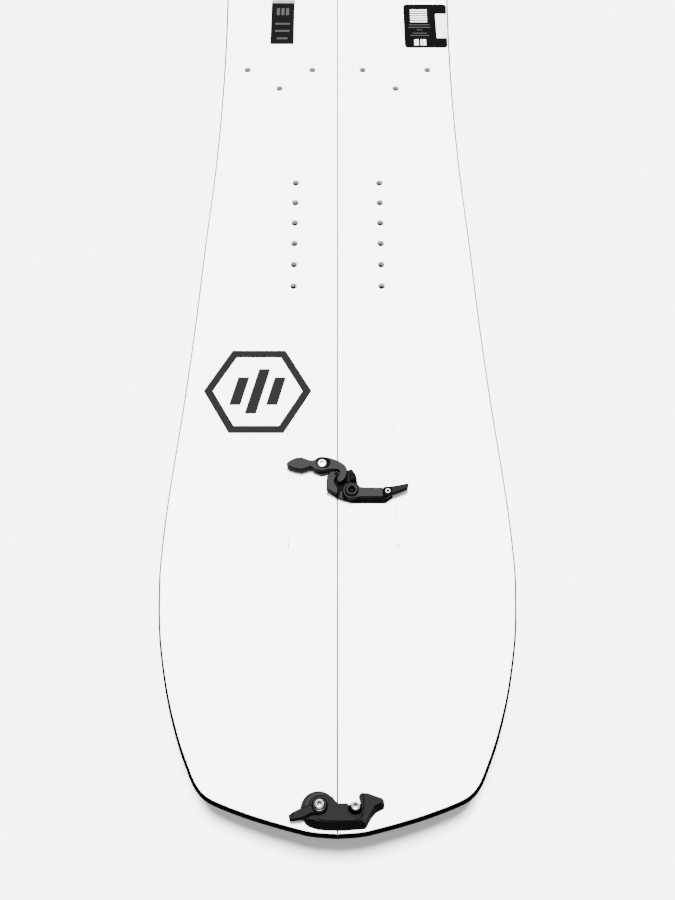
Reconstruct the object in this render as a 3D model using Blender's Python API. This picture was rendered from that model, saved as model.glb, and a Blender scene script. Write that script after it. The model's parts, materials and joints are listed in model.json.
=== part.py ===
"""Splitboard: a snowboard cut lengthwise into two skis that two hook clips, a nose clip and a tail clip
hold together. Metres, +Z up, nose towards -Y, the left ski at -X. The origin is on the ground under the
middle of the board."""

import math

import bmesh
import bpy
from mathutils import Matrix, Vector
from mathutils.geometry import tessellate_polygon

# Driving dimensions of the board.
BOARD_LENGTH = 1.580
THICKNESS = 0.0080
SEAM_GAP = 0.0006
GAP = 0.0003

# Side profile of the top surface: flat running length, then an arc, then a straight ramp at each end.
NOSE_SLOPE = math.radians(19)
NOSE_RAMP = 0.073
TAIL_SLOPE = math.radians(14)
TAIL_RAMP = 0.062
KICK_RADIUS = 0.480

# Half outline of the assembled board: (half width, distance from the nose tip) where the curve bends.
OUTLINE = (
    (0.0000, 0.0000),
    (0.0160, 0.0010),
    (0.0302, 0.0038),
    (0.0605, 0.0121),
    (0.0867, 0.0213),
    (0.0993, 0.0277),
    (0.1070, 0.0359),
    (0.1134, 0.0475),
    (0.1250, 0.0735),
    (0.1373, 0.1100),
    (0.1476, 0.1560),
    (0.1520, 0.1990),
    (0.1526, 0.2270),
    (0.1503, 0.2800),
    (0.1431, 0.3700),
    (0.1376, 0.4550),
    (0.1324, 0.5640),
    (0.1282, 0.6380),
    (0.1257, 0.7150),
    (0.1249, 0.7900),
    (0.1258, 0.8700),
    (0.1287, 0.9600),
    (0.1341, 1.0700),
    (0.1398, 1.1700),
    (0.1447, 1.2620),
    (0.1454, 1.3050),
    (0.1432, 1.3550),
    (0.1356, 1.4220),
    (0.1232, 1.4850),
    (0.1121, 1.5280),
    (0.1058, 1.5460),
    (0.0993, 1.5545),
    (0.0867, 1.5610),
    (0.0605, 1.5690),
    (0.0302, 1.5760),
    (0.0000, BOARD_LENGTH),
)
STRAIGHT_SPAN = 0.060
SEAM_INSET = 0.014

# Layers, as depths under the top surface, and widths in from the outline.
TOPSHEET = 0.0008
CORE_TOP = TOPSHEET + GAP
CORE_BOTTOM = 0.0064
BASE_TOP = CORE_BOTTOM + GAP
SIDEWALL_BOTTOM = 0.0057
EDGE_TOP = SIDEWALL_BOTTOM + GAP
EDGE_WIDTH = 0.0020
SIDEWALL_WIDTH = 0.0050

# Threaded inserts for the bindings: places are (distance from the seam, distance from the nose tip).
INSERT_PITCH = 0.0254
PACK_ROWS = 6
COLUMN_FROM_SEAM = 0.0430
FRONT_PACK = 0.568
STANCE = 0.580
REAR_PACK = FRONT_PACK + STANCE
TOURING_BASE = 0.0710
TOURING_HEIGHT = 0.0270
TOURING_FROM_SEAM = 0.0630
TOURING_PLACE = FRONT_PACK + 0.2200
HEEL_SPREAD = 0.0500
HEEL_PLACE = TOURING_PLACE + 0.2450
INSERT_RADIUS = 0.0036
INSERT_BORE = 0.0025
INSERT_TOP = 0.0003
INSERT_BORE_BOTTOM = 0.0049
STRIP_TOP = 0.0053
STRIP_BOTTOM = 0.0059
STRIP_MARGIN = 0.0055
POCKET_TOP = STRIP_TOP - GAP
SMALL_SIDES = 8
ROUND_SIDES = 14

# Hook clips: places are from the clip's middle, heights are above the topsheet.
FRONT_CLIP = 0.298
REAR_CLIP = REAR_PACK + 0.2250
CLIP_FROM_SEAM = -0.0016
ARM_BOLT = (-0.0121, 0.0127)
LEVER_PIVOT = (0.0140, -0.0136)
PLATE_LOW = GAP
BASE_HIGH = 0.0020
LINK_LOW = BASE_HIGH + GAP
LINK_HIGH = 0.0042
TOP_LOW = LINK_HIGH + GAP
TOP_HIGH = 0.0098
RIB_HIGH = 0.0094
DRAW_TRAVEL = 0.0035
ARM_POCKET_FLOOR = 0.0077
ARM_POCKET_RADIUS = 0.0049
SCREW_DEPTH = 0.0050
SCREW_SHANK = 0.0022
BUSH_BORE = SCREW_SHANK + GAP
ARM_BUSH_RADIUS = 0.0034
ARM_HEAD_RADIUS = 0.0044
PIVOT_BUSH_RADIUS = 0.0040
PIVOT_HEAD_RADIUS = 0.0054
PIVOT_HEAD = 0.0018
HUB_RADIUS = 0.0077
ARM_UNDER_RADIUS = 0.0088

ARM_TAB = (
    (-0.0220, 0.0152),
    (-0.0253, 0.0163),
    (-0.0302, 0.0183),
    (-0.0355, 0.0177),
    (-0.0402, 0.0154),
    (-0.0442, 0.0120),
    (-0.0408, 0.0092),
    (-0.0363, 0.0076),
    (-0.0300, 0.0064),
    (-0.0256, 0.0080),
    (-0.0221, 0.0094),
)
ARM_HOOK = (
    (-0.0185, 0.0066),
    (-0.0123, 0.0050),
    (-0.0066, 0.0064),
    (0.0019, 0.0064),
    (0.0036, 0.0044),
    (0.0034, 0.0017),
    (0.0016, -0.0004),
    (0.0012, -0.0034),
    (0.0026, -0.0066),
    (0.0064, -0.0045),
    (0.0090, -0.0010),
    (0.0098, 0.0030),
    (0.0102, 0.0066),
    (0.0088, 0.0098),
    (0.0063, 0.0122),
    (0.0016, 0.0150),
    (-0.0047, 0.0176),
    (-0.0095, 0.0184),
    (-0.0140, 0.0181),
    (-0.0190, 0.0158),
)
DRAW_HOOK = (
    (-0.0020, 0.0042),
    (-0.0044, 0.0042),
    (-0.0076, 0.0004),
    (-0.0080, -0.0030),
    (-0.0080, -0.0122),
    (0.0014, -0.0172),
    (0.0020, -0.0115),
    (-0.0010, -0.0066),
    (-0.0012, -0.0040),
    (-0.0004, -0.0020),
    (0.0006, 0.0002),
)
DRAW_LINK = (
    (-0.0044, 0.0018),
    (-0.0070, -0.0010),
    (-0.0070, -0.0125),
    (0.0008, -0.0180),
    (0.0080, -0.0208),
    (0.0180, -0.0208),
    (0.0235, -0.0178),
    (0.0250, -0.0136),
    (0.0235, -0.0092),
    (0.0180, -0.0064),
    (0.0060, -0.0058),
    (0.0028, -0.0034),
    (0.0028, 0.0040),
    (0.0016, 0.0062),
    (-0.0014, 0.0060),
)
CLIP_BASE = (
    (0.0010, 0.0040),
    (0.0096, 0.0068),
    (0.0140, 0.0050),
    (0.0182, 0.0006),
    (0.0202, -0.0060),
    (0.0212, -0.0105),
    (0.0490, -0.0115),
    (0.0503, -0.0170),
    (0.0436, -0.0221),
    (0.0140, -0.0221),
    (0.0040, -0.0186),
    (0.0010, -0.0160),
)
RIB_GUIDE = (
    (0.0036, -0.0016),
    (0.0036, 0.0052),
    (0.0096, 0.0073),
    (0.0140, 0.0050),
    (0.0178, 0.0006),
    (0.0192, -0.0036),
)
RIB_BLOCK = (
    (0.0130, -0.0036),
    (0.0130, 0.0062),
    (0.0138, 0.0076),
    (0.0148, 0.0066),
    (0.0180, 0.0010),
    (0.0190, -0.0036),
)
LEVER_BAR = (
    (0.0140, -0.0059),
    (0.0185, -0.0070),
    (0.0212, -0.0102),
    (0.0250, -0.0107),
    (0.0412, -0.0110),
    (0.0415, -0.0196),
    (0.0200, -0.0198),
    (0.0150, -0.0203),
)
LEVER_TIP = (
    (0.0418, -0.0100),
    (0.0470, -0.0098),
    (0.0540, -0.0087),
    (0.0630, -0.0066),
    (0.0640, -0.0080),
    (0.0632, -0.0117),
    (0.0560, -0.0146),
    (0.0500, -0.0168),
    (0.0450, -0.0200),
    (0.0418, -0.0197),
)

# End clips: places are from the seam and up the ramp from the board's tip, heights are above the ramp.
END_BOLT = (-0.0130, 0.0172)
END_POST = (0.0130, 0.0172)
END_PLATE_HIGH = 0.0063
BEAK_LOW = END_PLATE_HIGH + GAP
BEAK_HIGH = 0.0094
WASHER_HIGH = 0.0106
END_HEAD_HIGH = 0.0128
POST_HIGH = 0.0078
POST_HEAD_HIGH = 0.0096
END_BOSS_PLACE = (-0.0140, 0.0171)
END_BOSS_RADIUS = 0.0129
END_SHANK = 0.0026
WASHER_RADIUS = 0.0046
END_HEAD_RADIUS = 0.0034
POST_RADIUS = 0.0037
POST_NOTCH_RADIUS = 0.0054
POST_SWING_CLEARANCE = 0.0005
NOTCH_WALL_TOP = math.radians(13)

END_STEPS = (
    (-0.0052, 0.0266),
    (-0.0028, 0.0250),
    (-0.0020, 0.0236),
    (0.0004, 0.0206),
    (0.0078, 0.0208),
    (0.0084, 0.0196),
)
END_TAB = (
    (0.0156, 0.0269),
    (0.0166, 0.0283),
    (0.0178, 0.0287),
    (0.0221, 0.0284),
    (0.0331, 0.0244),
    (0.0341, 0.0222),
    (0.0340, 0.0187),
    (0.0278, 0.0154),
    (0.0243, 0.0110),
    (0.0208, 0.0046),
    (0.0196, 0.0036),
    (0.0040, 0.0024),
    (-0.0080, 0.0025),
    (-0.0150, 0.0033),
    (-0.0200, 0.0050),
    (-0.0230, 0.0070),
)
BEAK = (
    (-0.0155, 0.0217),
    (-0.0185, 0.0190),
    (-0.0255, 0.0164),
    (-0.0322, 0.0130),
    (-0.0352, 0.0106),
    (-0.0341, 0.0061),
    (-0.0250, 0.0074),
    (-0.0184, 0.0110),
    (-0.0130, 0.0112),
    (-0.0084, 0.0132),
    (-0.0072, 0.0172),
    (-0.0086, 0.0211),
    (-0.0130, 0.0226),
)

# Labels: (nearest and farthest distance from the seam, nearest and farthest distance from the nose tip).
LABEL_THICKNESS = 0.0003
LEFT_LABEL = (-0.0745, -0.0490, 0.8280, 0.8960)
RIGHT_LABEL = (0.0740, 0.1225, 0.8200, 0.8880)


def material(name, colour, metallic, roughness):
    """A Principled material of one colour."""
    made = bpy.data.materials.new(name)
    made.use_nodes = True
    shader = made.node_tree.nodes["Principled BSDF"]
    shader.inputs["Base Color"].default_value = (*colour, 1)
    shader.inputs["Metallic"].default_value = metallic
    shader.inputs["Roughness"].default_value = roughness
    return made


def circle(centre, radius, sides=ROUND_SIDES):
    return [
        (centre[0] + radius * math.cos(turn), centre[1] + radius * math.sin(turn))
        for turn in (2 * math.pi * (i + 0.5) / sides for i in range(sides))
    ]


def arc(centre, radius, start, end, steps):
    """Points on an arc, from start to end in degrees."""
    turns = (math.radians(start + (end - start) * i / steps) for i in range(steps + 1))
    return [
        (centre[0] + radius * math.cos(turn), centre[1] + radius * math.sin(turn))
        for turn in turns
    ]


def slot_outline(centre, radius, length, sides=ROUND_SIDES // 2):
    """A slot that starts at centre and runs length along +X."""
    far = (centre[0] + length, centre[1])
    return arc(centre, radius, 90, 270, sides) + arc(far, radius, -90, 90, sides)


def box_outline(x0, x1, y0, y1):
    return [(x0, y0), (x1, y0), (x1, y1), (x0, y1)]


def new_object(name, mesh, finish, parent=None, place=(0, 0, 0)):
    mesh.shade_smooth()
    mesh.set_sharp_from_angle(angle=math.radians(35))
    mesh.materials.append(finish)
    made = bpy.data.objects.new(name, mesh)
    made.parent = parent
    made.location = place
    bpy.context.scene.collection.objects.link(made)
    return made


def prism_into(shape, loops, low, high):
    """Adds a prism to a bmesh: the first loop is its outline and the rest are holes."""
    levels = []
    for height in (low, high):
        levels.append([[shape.verts.new((x, y, height)) for x, y in loop] for loop in loops])
    for bottom, top in zip(*levels):
        for i, corner in enumerate(bottom):
            j = (i + 1) % len(bottom)
            shape.faces.new((corner, bottom[j], top[j], top[i]))
    flat = tessellate_polygon([[Vector((x, y, 0)) for x, y in loop] for loop in loops])
    for level in levels:
        corners = [corner for loop in level for corner in loop]
        for triangle in flat:
            shape.faces.new([corners[i] for i in triangle])


def mesh_of(shape, name):
    bmesh.ops.recalc_face_normals(shape, faces=shape.faces)
    mesh = bpy.data.meshes.new(name)
    shape.to_mesh(mesh)
    shape.free()
    return mesh


def prism(name, loops, low, high, finish, parent=None, origin=(0, 0)):
    """A plate of one outline with holes, whose object's origin is at a point in the plate's plane."""
    shape = bmesh.new()
    moved = [[(x - origin[0], y - origin[1]) for x, y in loop] for loop in loops]
    prism_into(shape, moved, low, high)
    return new_object(name, mesh_of(shape, name), finish, parent, (*origin, 0))


def turned(name, profile, finish, parent, origin, sides=ROUND_SIDES):
    """A round piece on a vertical axis: the profile is (radius, height) pairs, closed through the axis
    where it ends at radius 0, and back to its first point where it doesn't."""
    shape = bmesh.new()
    rings = []
    for radius, height in profile:
        if radius == 0:
            rings.append([shape.verts.new((0, 0, height))])
        else:
            rings.append([shape.verts.new((x, y, height)) for x, y in circle((0, 0), radius, sides)])
    pairs = list(zip(rings, rings[1:]))
    if profile[-1][0] > 0:
        pairs.append((rings[-1], rings[0]))
    for near, far in pairs:
        for i in range(sides):
            j = (i + 1) % sides
            corners = [near[i % len(near)], near[j % len(near)], far[j % len(far)], far[i % len(far)]]
            shape.faces.new(list(dict.fromkeys(corners)))
    return new_object(name, mesh_of(shape, name), finish, parent, (*origin, 0))


def screw(name, top, head, shank, bottom, finish, parent, origin):
    """A round-headed screw: head is its radius and thickness."""
    radius, thick = head
    profile = (
        (0, bottom),
        (shank, bottom),
        (shank, top - thick),
        (radius, top - thick),
        (radius, top - 0.3 * thick),
        (0.8 * radius, top),
        (0, top),
    )
    return turned(name, profile, finish, parent, origin)


def tube(name, bore, radius, low, high, finish, parent, origin):
    profile = ((bore, low), (radius, low), (radius, high), (bore, high))
    return turned(name, profile, finish, parent, origin)


def modify(target, operation, tool):
    """A Boolean with a helper object, which isn't a part."""
    tool.hide_render = True
    tool.display_type = "WIRE"
    change = target.modifiers.new(operation.lower(), "BOOLEAN")
    change.operation = operation
    change.solver = "EXACT"
    change.object = tool


def prisms(name, outlines, low, high, finish):
    """One helper object that holds several separate prisms."""
    shape = bmesh.new()
    for outline in outlines:
        prism_into(shape, [outline], low, high)
    return new_object(name, mesh_of(shape, name), finish)


# Board surface.


def end_arc(slope):
    """Length along Y and rise of an end's arc."""
    return KICK_RADIUS * math.sin(slope), KICK_RADIUS * (1 - math.cos(slope))


def rise_and_slope(distance, slope, ramp):
    """Height of the top surface over its flat stretch, and its slope, at a distance from that end's tip."""
    run, rise = end_arc(slope)
    if distance <= ramp:
        return rise + (ramp - distance) * math.tan(slope), slope
    if distance < ramp + run:
        along = ramp + run - distance
        turn = math.asin(along / KICK_RADIUS)
        return KICK_RADIUS * (1 - math.cos(turn)), turn
    return 0.0, 0.0


NOSE_TIP_Y = -(BOARD_LENGTH + THICKNESS * (math.sin(TAIL_SLOPE) - math.sin(NOSE_SLOPE))) / 2


def on_board(x, distance, depth):
    """A point of the board, from its distance to the nose tip and its depth under the top surface."""
    nose_rise, nose_turn = rise_and_slope(distance, NOSE_SLOPE, NOSE_RAMP)
    tail_rise, tail_turn = rise_and_slope(BOARD_LENGTH - distance, TAIL_SLOPE, TAIL_RAMP)
    turn = nose_turn - tail_turn
    y = NOSE_TIP_Y + distance - depth * math.sin(turn)
    z = THICKNESS + nose_rise + tail_rise - depth * math.cos(turn)
    return Vector((x, y, z))


def smooth(points, i, t):
    """A point between points i and i + 1 of a Catmull-Rom curve."""
    last = len(points) - 1
    p0, p1, p2, p3 = (Vector(points[min(max(i + k, 0), last)]) for k in (-1, 0, 1, 2))
    return 0.5 * (2 * p1 + (p2 - p0) * t + (2 * p0 - 5 * p1 + 4 * p2 - p3) * t**2 + (3 * p1 - 3 * p2 + p3 - p0) * t**3)


def outer_points():
    """The outline from the nose tip to the tail tip, with a middle point on each short, curved stretch."""
    found = []
    for i in range(len(OUTLINE) - 1):
        span = OUTLINE[i + 1][1] - OUTLINE[i][1]
        steps = 1 if span > STRAIGHT_SPAN else 2
        found += [smooth(OUTLINE, i, k / steps) for k in range(steps)]
    return found + [Vector(OUTLINE[-1])]


def half_loop():
    """One ski's outline as a closed loop: nose tip, outer side, tail tip, then back along the seam."""
    outer = outer_points()
    seam_x = SEAM_GAP / 2
    outer[0].x = seam_x
    outer[-1].x = seam_x
    squeeze = (BOARD_LENGTH - 2 * SEAM_INSET) / BOARD_LENGTH
    seam = [Vector((seam_x, SEAM_INSET + p.y * squeeze)) for p in outer[1:-1]]
    return outer + seam[::-1]


def inset(loop, width):
    """The loop moved inwards by a width, with mitred corners."""
    moved = []
    for i, here in enumerate(loop):
        before = (here - loop[i - 1]).normalized()
        after = (loop[(i + 1) % len(loop)] - here).normalized()
        normals = [Vector((-d.y, d.x)) for d in (before, after)]
        bisector = (normals[0] + normals[1]).normalized()
        moved.append(here + bisector * width / bisector.dot(normals[0]))
    return moved


def layer_verts(shape, loop, side, depths):
    return [[shape.verts.new(on_board(side * p.x, p.y, depth)) for p in loop] for depth in depths]


def close_side(shape, first, second):
    """A wall of quads between two loops."""
    for i in range(len(first)):
        j = (i + 1) % len(first)
        shape.faces.new((first[i], first[j], second[j], second[i]))


def plate_layer(name, side, depths, width, finish):
    """A full layer of one ski, set in from the outline by a width."""
    shape = bmesh.new()
    levels = layer_verts(shape, inset(half_loop(), width), side, depths)
    close_side(shape, *levels)
    count = len(levels[0])
    for level in levels:
        shape.faces.new((level[0], level[1], level[-1]))
        for i in range(1, count // 2 - 1):
            shape.faces.new((level[i], level[i + 1], level[count - i - 1], level[count - i]))
        middle = count // 2
        shape.faces.new((level[middle - 1], level[middle], level[middle + 1]))
    bmesh.ops.triangulate(shape, faces=shape.faces)
    return new_object(name, mesh_of(shape, name), finish)


def ring_layer(name, side, depths, width, finish):
    """A band of one width all round one ski."""
    shape = bmesh.new()
    outside = layer_verts(shape, half_loop(), side, depths)
    inside = layer_verts(shape, inset(half_loop(), width), side, depths)
    close_side(shape, outside[0], outside[1])
    close_side(shape, inside[0], inside[1])
    close_side(shape, outside[0], inside[0])
    close_side(shape, outside[1], inside[1])
    bmesh.ops.triangulate(shape, faces=shape.faces)
    return new_object(name, mesh_of(shape, name), finish)


# Inserts.


def row_y(distance):
    return NOSE_TIP_Y + distance


def pack_places(side, centre):
    first = centre - INSERT_PITCH * (PACK_ROWS - 1) / 2
    return [(side * COLUMN_FROM_SEAM, row_y(first + INSERT_PITCH * i)) for i in range(PACK_ROWS)]


def touring_places(side):
    middle = side * TOURING_FROM_SEAM
    base = row_y(TOURING_PLACE)
    half = TOURING_BASE / 2
    return [(middle, base - TOURING_HEIGHT), (middle + half, base), (middle - half, base)]


def heel_places(side):
    middle = side * TOURING_FROM_SEAM
    y = row_y(HEEL_PLACE)
    return [(middle - HEEL_SPREAD / 2, y), (middle + HEEL_SPREAD / 2, y)]


def strip_outline(places, margin):
    """A rectangle or, round the touring inserts, a triangle with cut corners."""
    xs = [x for x, y in places]
    ys = [y for x, y in places]
    low_x, high_x = min(xs) - margin, max(xs) + margin
    low_y, high_y = min(ys) - margin, max(ys) + margin
    if len(places) != 3:
        return box_outline(low_x, high_x, low_y, high_y)
    tip = places[0][0]
    return [
        (tip - margin, low_y),
        (tip + margin, low_y),
        (high_x, high_y - 2 * margin),
        (high_x, high_y),
        (low_x, high_y),
        (low_x, high_y - 2 * margin),
    ]


def inserts(name, places, finish):
    """A group of threaded inserts that stand on the thin strip that holds them under the core."""
    top = THICKNESS
    strip = prism(name, [strip_outline(places, STRIP_MARGIN)], top - STRIP_BOTTOM, top - STRIP_TOP, finish)
    posts = [circle(place, INSERT_RADIUS, SMALL_SIDES) for place in places]
    bores = [circle(place, INSERT_BORE, SMALL_SIDES) for place in places]
    low = top - (STRIP_TOP + STRIP_BOTTOM) / 2
    modify(strip, "UNION", prisms(name + "_posts", posts, low, top - INSERT_TOP, finish))
    bore_bottom = top - INSERT_BORE_BOTTOM
    modify(strip, "DIFFERENCE", prisms(name + "_bores", bores, bore_bottom, top + THICKNESS, finish))


def ski(name, side, finishes):
    """One half of the board."""
    plate_layer(name + "_base", side, (BASE_TOP, THICKNESS), EDGE_WIDTH + GAP, finishes["base"])
    ring_layer(name + "_edge", side, (EDGE_TOP, THICKNESS), EDGE_WIDTH, finishes["edge"])
    ring_layer(name + "_sidewall", side, (CORE_TOP, SIDEWALL_BOTTOM), SIDEWALL_WIDTH, finishes["sidewall"])
    core = plate_layer(name + "_core", side, (CORE_TOP, CORE_BOTTOM), SIDEWALL_WIDTH + GAP, finishes["core"])
    topsheet = plate_layer(name + "_topsheet", side, (0, TOPSHEET), 0, finishes["topsheet"])
    groups = {
        "front_inserts": pack_places(side, FRONT_PACK),
        "rear_inserts": pack_places(side, REAR_PACK),
        "touring_inserts": touring_places(side),
        "heel_inserts": heel_places(side),
    }
    holes = []
    pockets = []
    for group, places in groups.items():
        inserts(name + "_" + group, places, finishes["steel"])
        holes += [circle(place, INSERT_RADIUS + 0.0004, SMALL_SIDES) for place in places]
        pockets.append(strip_outline(places, STRIP_MARGIN + GAP))
    screw_x, screw_y = ARM_BOLT if side < 0 else LEVER_PIVOT
    for clip in (FRONT_CLIP, REAR_CLIP):
        centre = (CLIP_FROM_SEAM + screw_x, row_y(clip) + screw_y)
        holes.append(circle(centre, SCREW_SHANK + GAP, SMALL_SIDES))
    drill = prisms(name + "_drill", holes, -THICKNESS, 2 * THICKNESS, finishes["core"])
    pocket_cut = prisms(name + "_pockets", pockets, -THICKNESS, THICKNESS - POCKET_TOP, finishes["core"])
    modify(core, "DIFFERENCE", drill)
    modify(core, "DIFFERENCE", pocket_cut)
    modify(topsheet, "DIFFERENCE", drill)
    return core, topsheet


# Clips.


def empty(name, place, turn=Matrix.Identity(3)):
    made = bpy.data.objects.new(name, None)
    made.matrix_world = Matrix.Translation(place) @ turn.to_4x4()
    bpy.context.scene.collection.objects.link(made)
    return made


def hook_arm(name, clip, finishes):
    """The left hook: a two-ply arm with a thumb tab, which turns on its bolt."""
    outline = list(ARM_HOOK) + list(ARM_TAB)
    hole = circle(ARM_BOLT, ARM_BUSH_RADIUS + GAP)
    arm = prism(name + "_hook_arm", [outline, hole], TOP_LOW, TOP_HIGH, finishes["clip"], clip, ARM_BOLT)
    pocket = slot_outline((0, 0), ARM_POCKET_RADIUS, 0.0022)
    recess = prisms(name + "_arm_recess", [pocket], ARM_POCKET_FLOOR, 2 * TOP_HIGH, finishes["clip"])
    recess.parent = clip
    recess.location = (*ARM_BOLT, 0)
    modify(arm, "DIFFERENCE", recess)
    under = arc(ARM_BOLT, ARM_UNDER_RADIUS, -155, 155, 12) + list(ARM_TAB[1:-1])
    prism(name + "_arm_underplate", [under, hole], PLATE_LOW, LINK_HIGH, finishes["black"], clip, ARM_BOLT)
    bush_top = ARM_POCKET_FLOOR
    tube(name + "_arm_bush", BUSH_BORE, ARM_BUSH_RADIUS, PLATE_LOW, bush_top, finishes["steel"], clip, ARM_BOLT)
    head = (ARM_HEAD_RADIUS, TOP_HIGH - ARM_POCKET_FLOOR - GAP)
    screw(name + "_arm_bolt", TOP_HIGH, head, SCREW_SHANK, -SCREW_DEPTH, finishes["steel"], clip, ARM_BOLT)


def draw_clip(name, clip, finishes):
    """The right side: a hook that a lever draws across the seam, on a base plate."""
    hole = circle(LEVER_PIVOT, PIVOT_BUSH_RADIUS + GAP)
    slot = slot_outline(LEVER_PIVOT, PIVOT_BUSH_RADIUS + GAP, DRAW_TRAVEL + GAP)
    prism(name + "_draw_hook", [DRAW_HOOK], TOP_LOW, TOP_HIGH, finishes["clip"], clip)
    prism(name + "_draw_link", [DRAW_LINK, slot], LINK_LOW, LINK_HIGH, finishes["black"], clip)
    prism(name + "_clip_base", [CLIP_BASE, hole], PLATE_LOW, BASE_HIGH, finishes["black"], clip)
    guide = prism(name + "_rib_guide", [RIB_GUIDE], LINK_LOW, LINK_HIGH, finishes["black"], clip)
    ribs = prisms(name + "_ribs", [RIB_BLOCK], LINK_LOW + GAP, RIB_HIGH, finishes["black"])
    ribs.parent = clip
    modify(guide, "UNION", ribs)
    hub = arc(LEVER_PIVOT, HUB_RADIUS, -90, -270, 9)
    bar = list(LEVER_BAR[1:-1]) + hub
    prism(name + "_lever_arm", [bar, hole], TOP_LOW, TOP_HIGH, finishes["clip"], clip, LEVER_PIVOT)
    prism(name + "_lever_tip", [LEVER_TIP], TOP_LOW, TOP_HIGH, finishes["black"], clip, LEVER_PIVOT)
    bush = (BUSH_BORE, PIVOT_BUSH_RADIUS, PLATE_LOW, TOP_HIGH + GAP)
    tube(name + "_pivot_bush", *bush, finishes["steel"], clip, LEVER_PIVOT)
    top = TOP_HIGH + 2 * GAP + PIVOT_HEAD
    head = (PIVOT_HEAD_RADIUS, PIVOT_HEAD)
    screw(name + "_pivot_screw", top, head, SCREW_SHANK, -SCREW_DEPTH, finishes["black"], clip, LEVER_PIVOT)


def hook_clip(name, place, finishes):
    clip = empty(name + "_clip", on_board(CLIP_FROM_SEAM, place, 0))
    hook_arm(name, clip, finishes)
    draw_clip(name, clip, finishes)


def end_plate_outline():
    """The end clip's plate. The right wall of its notch is an arc about the pivot, so that the plate
    swings off the post."""
    boss = arc(END_BOSS_PLACE, END_BOSS_RADIUS, -150, -310, 11)
    notch = arc(END_POST, POST_NOTCH_RADIUS, 200, 325, 7)
    wall_radius = END_POST[0] - END_BOLT[0] + POST_RADIUS + POST_SWING_CLEARANCE
    wall = arc(END_BOLT, wall_radius, 0, math.degrees(NOTCH_WALL_TOP), 4)
    return boss + list(END_STEPS) + notch + wall + list(END_TAB)


def end_clip(name, tip, turn, finishes):
    """A hook plate on one ski that catches a post on the other, with its lock lever on top."""
    clip = empty(name + "_clip", tip, turn)
    hole = circle(END_BOLT, END_SHANK + GAP)
    outline = end_plate_outline()
    prism(name + "_hook_plate", [outline, hole], GAP, END_PLATE_HIGH, finishes["black"], clip, END_BOLT)
    prism(name + "_beak_lever", [BEAK, hole], BEAK_LOW, BEAK_HIGH, finishes["black"], clip, END_BOLT)
    washer = (END_SHANK + GAP, WASHER_RADIUS, BEAK_HIGH + GAP, WASHER_HIGH)
    tube(name + "_flange_washer", *washer, finishes["black"], clip, END_BOLT)
    head = (END_HEAD_RADIUS, END_HEAD_HIGH - WASHER_HIGH - GAP)
    screw(name + "_pivot_bolt", END_HEAD_HIGH, head, END_SHANK, -SCREW_DEPTH, finishes["steel"], clip, END_BOLT)
    collar = (SCREW_SHANK + GAP, POST_RADIUS, GAP, POST_HIGH)
    tube(name + "_post_collar", *collar, finishes["black"], clip, END_POST)
    head = (END_HEAD_RADIUS, POST_HEAD_HIGH - POST_HIGH - GAP)
    screw(name + "_post_bolt", POST_HEAD_HIGH, head, SCREW_SHANK, -SCREW_DEPTH, finishes["steel"], clip, END_POST)
    return clip


def drill_for_end_clip(clip, left_parts, right_parts, swapped, finish):
    """Holes for an end clip's two screws. The tail clip is the nose clip turned round, so its pivot
    is in the right ski."""
    for point, radius, on_left in ((END_BOLT, END_SHANK, True), (END_POST, SCREW_SHANK, False)):
        outline = circle(point, radius + GAP, SMALL_SIDES)
        label = clip.name + ("_bolt_hole" if on_left else "_post_hole")
        tool = prisms(label, [outline], -2 * THICKNESS, THICKNESS, finish)
        tool.parent = clip
        for part in left_parts if on_left != swapped else right_parts:
            modify(part, "DIFFERENCE", tool)


def label(name, span, finish):
    x0, x1, near, far = span
    low = THICKNESS + GAP
    prism(name, [box_outline(x0, x1, row_y(near), row_y(far))], low, low + LABEL_THICKNESS, finish)


def build():
    finishes = {
        "topsheet": material("topsheet_white", (0.86, 0.86, 0.86), 0.0, 0.35),
        "base": material("base_black", (0.02, 0.02, 0.02), 0.0, 0.45),
        "edge": material("edge_steel", (0.45, 0.45, 0.46), 1.0, 0.35),
        "sidewall": material("sidewall_black", (0.015, 0.015, 0.015), 0.0, 0.4),
        "core": material("core_wood", (0.55, 0.38, 0.2), 0.0, 0.6),
        "steel": material("stainless_steel", (0.7, 0.7, 0.7), 1.0, 0.2),
        "clip": material("anodised_grey", (0.09, 0.09, 0.095), 0.6, 0.45),
        "black": material("moulded_black", (0.02, 0.02, 0.022), 0.0, 0.5),
        "label": material("label_black", (0.012, 0.012, 0.012), 0.0, 0.3),
    }
    left = ski("left", -1, finishes)
    right = ski("right", 1, finishes)
    hook_clip("front", FRONT_CLIP, finishes)
    hook_clip("rear", REAR_CLIP, finishes)
    nose_turn = Matrix.Rotation(-NOSE_SLOPE, 3, "X")
    tail_turn = Matrix.Rotation(math.pi, 3, "Z") @ Matrix.Rotation(-TAIL_SLOPE, 3, "X")
    nose = end_clip("nose", on_board(0, 0, 0), nose_turn, finishes)
    tail = end_clip("tail", on_board(0, BOARD_LENGTH, 0), tail_turn, finishes)
    drill_for_end_clip(nose, left, right, False, finishes["core"])
    drill_for_end_clip(tail, left, right, True, finishes["core"])
    label("left_label", LEFT_LABEL, finishes["label"])
    label("right_label", RIGHT_LABEL, finishes["label"])


for old in list(bpy.data.objects):
    bpy.data.objects.remove(old)
build()
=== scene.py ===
"""The looks of a splitboard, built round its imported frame: both skis, their inserts and print, two hook
clips, a nose clip and a tail clip. Metres, +Z up, nose towards -Y, the left ski at -X."""

import json
import math

import bmesh
import bpy
from mathutils import Matrix, Vector
from mathutils.geometry import tessellate_polygon


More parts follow.
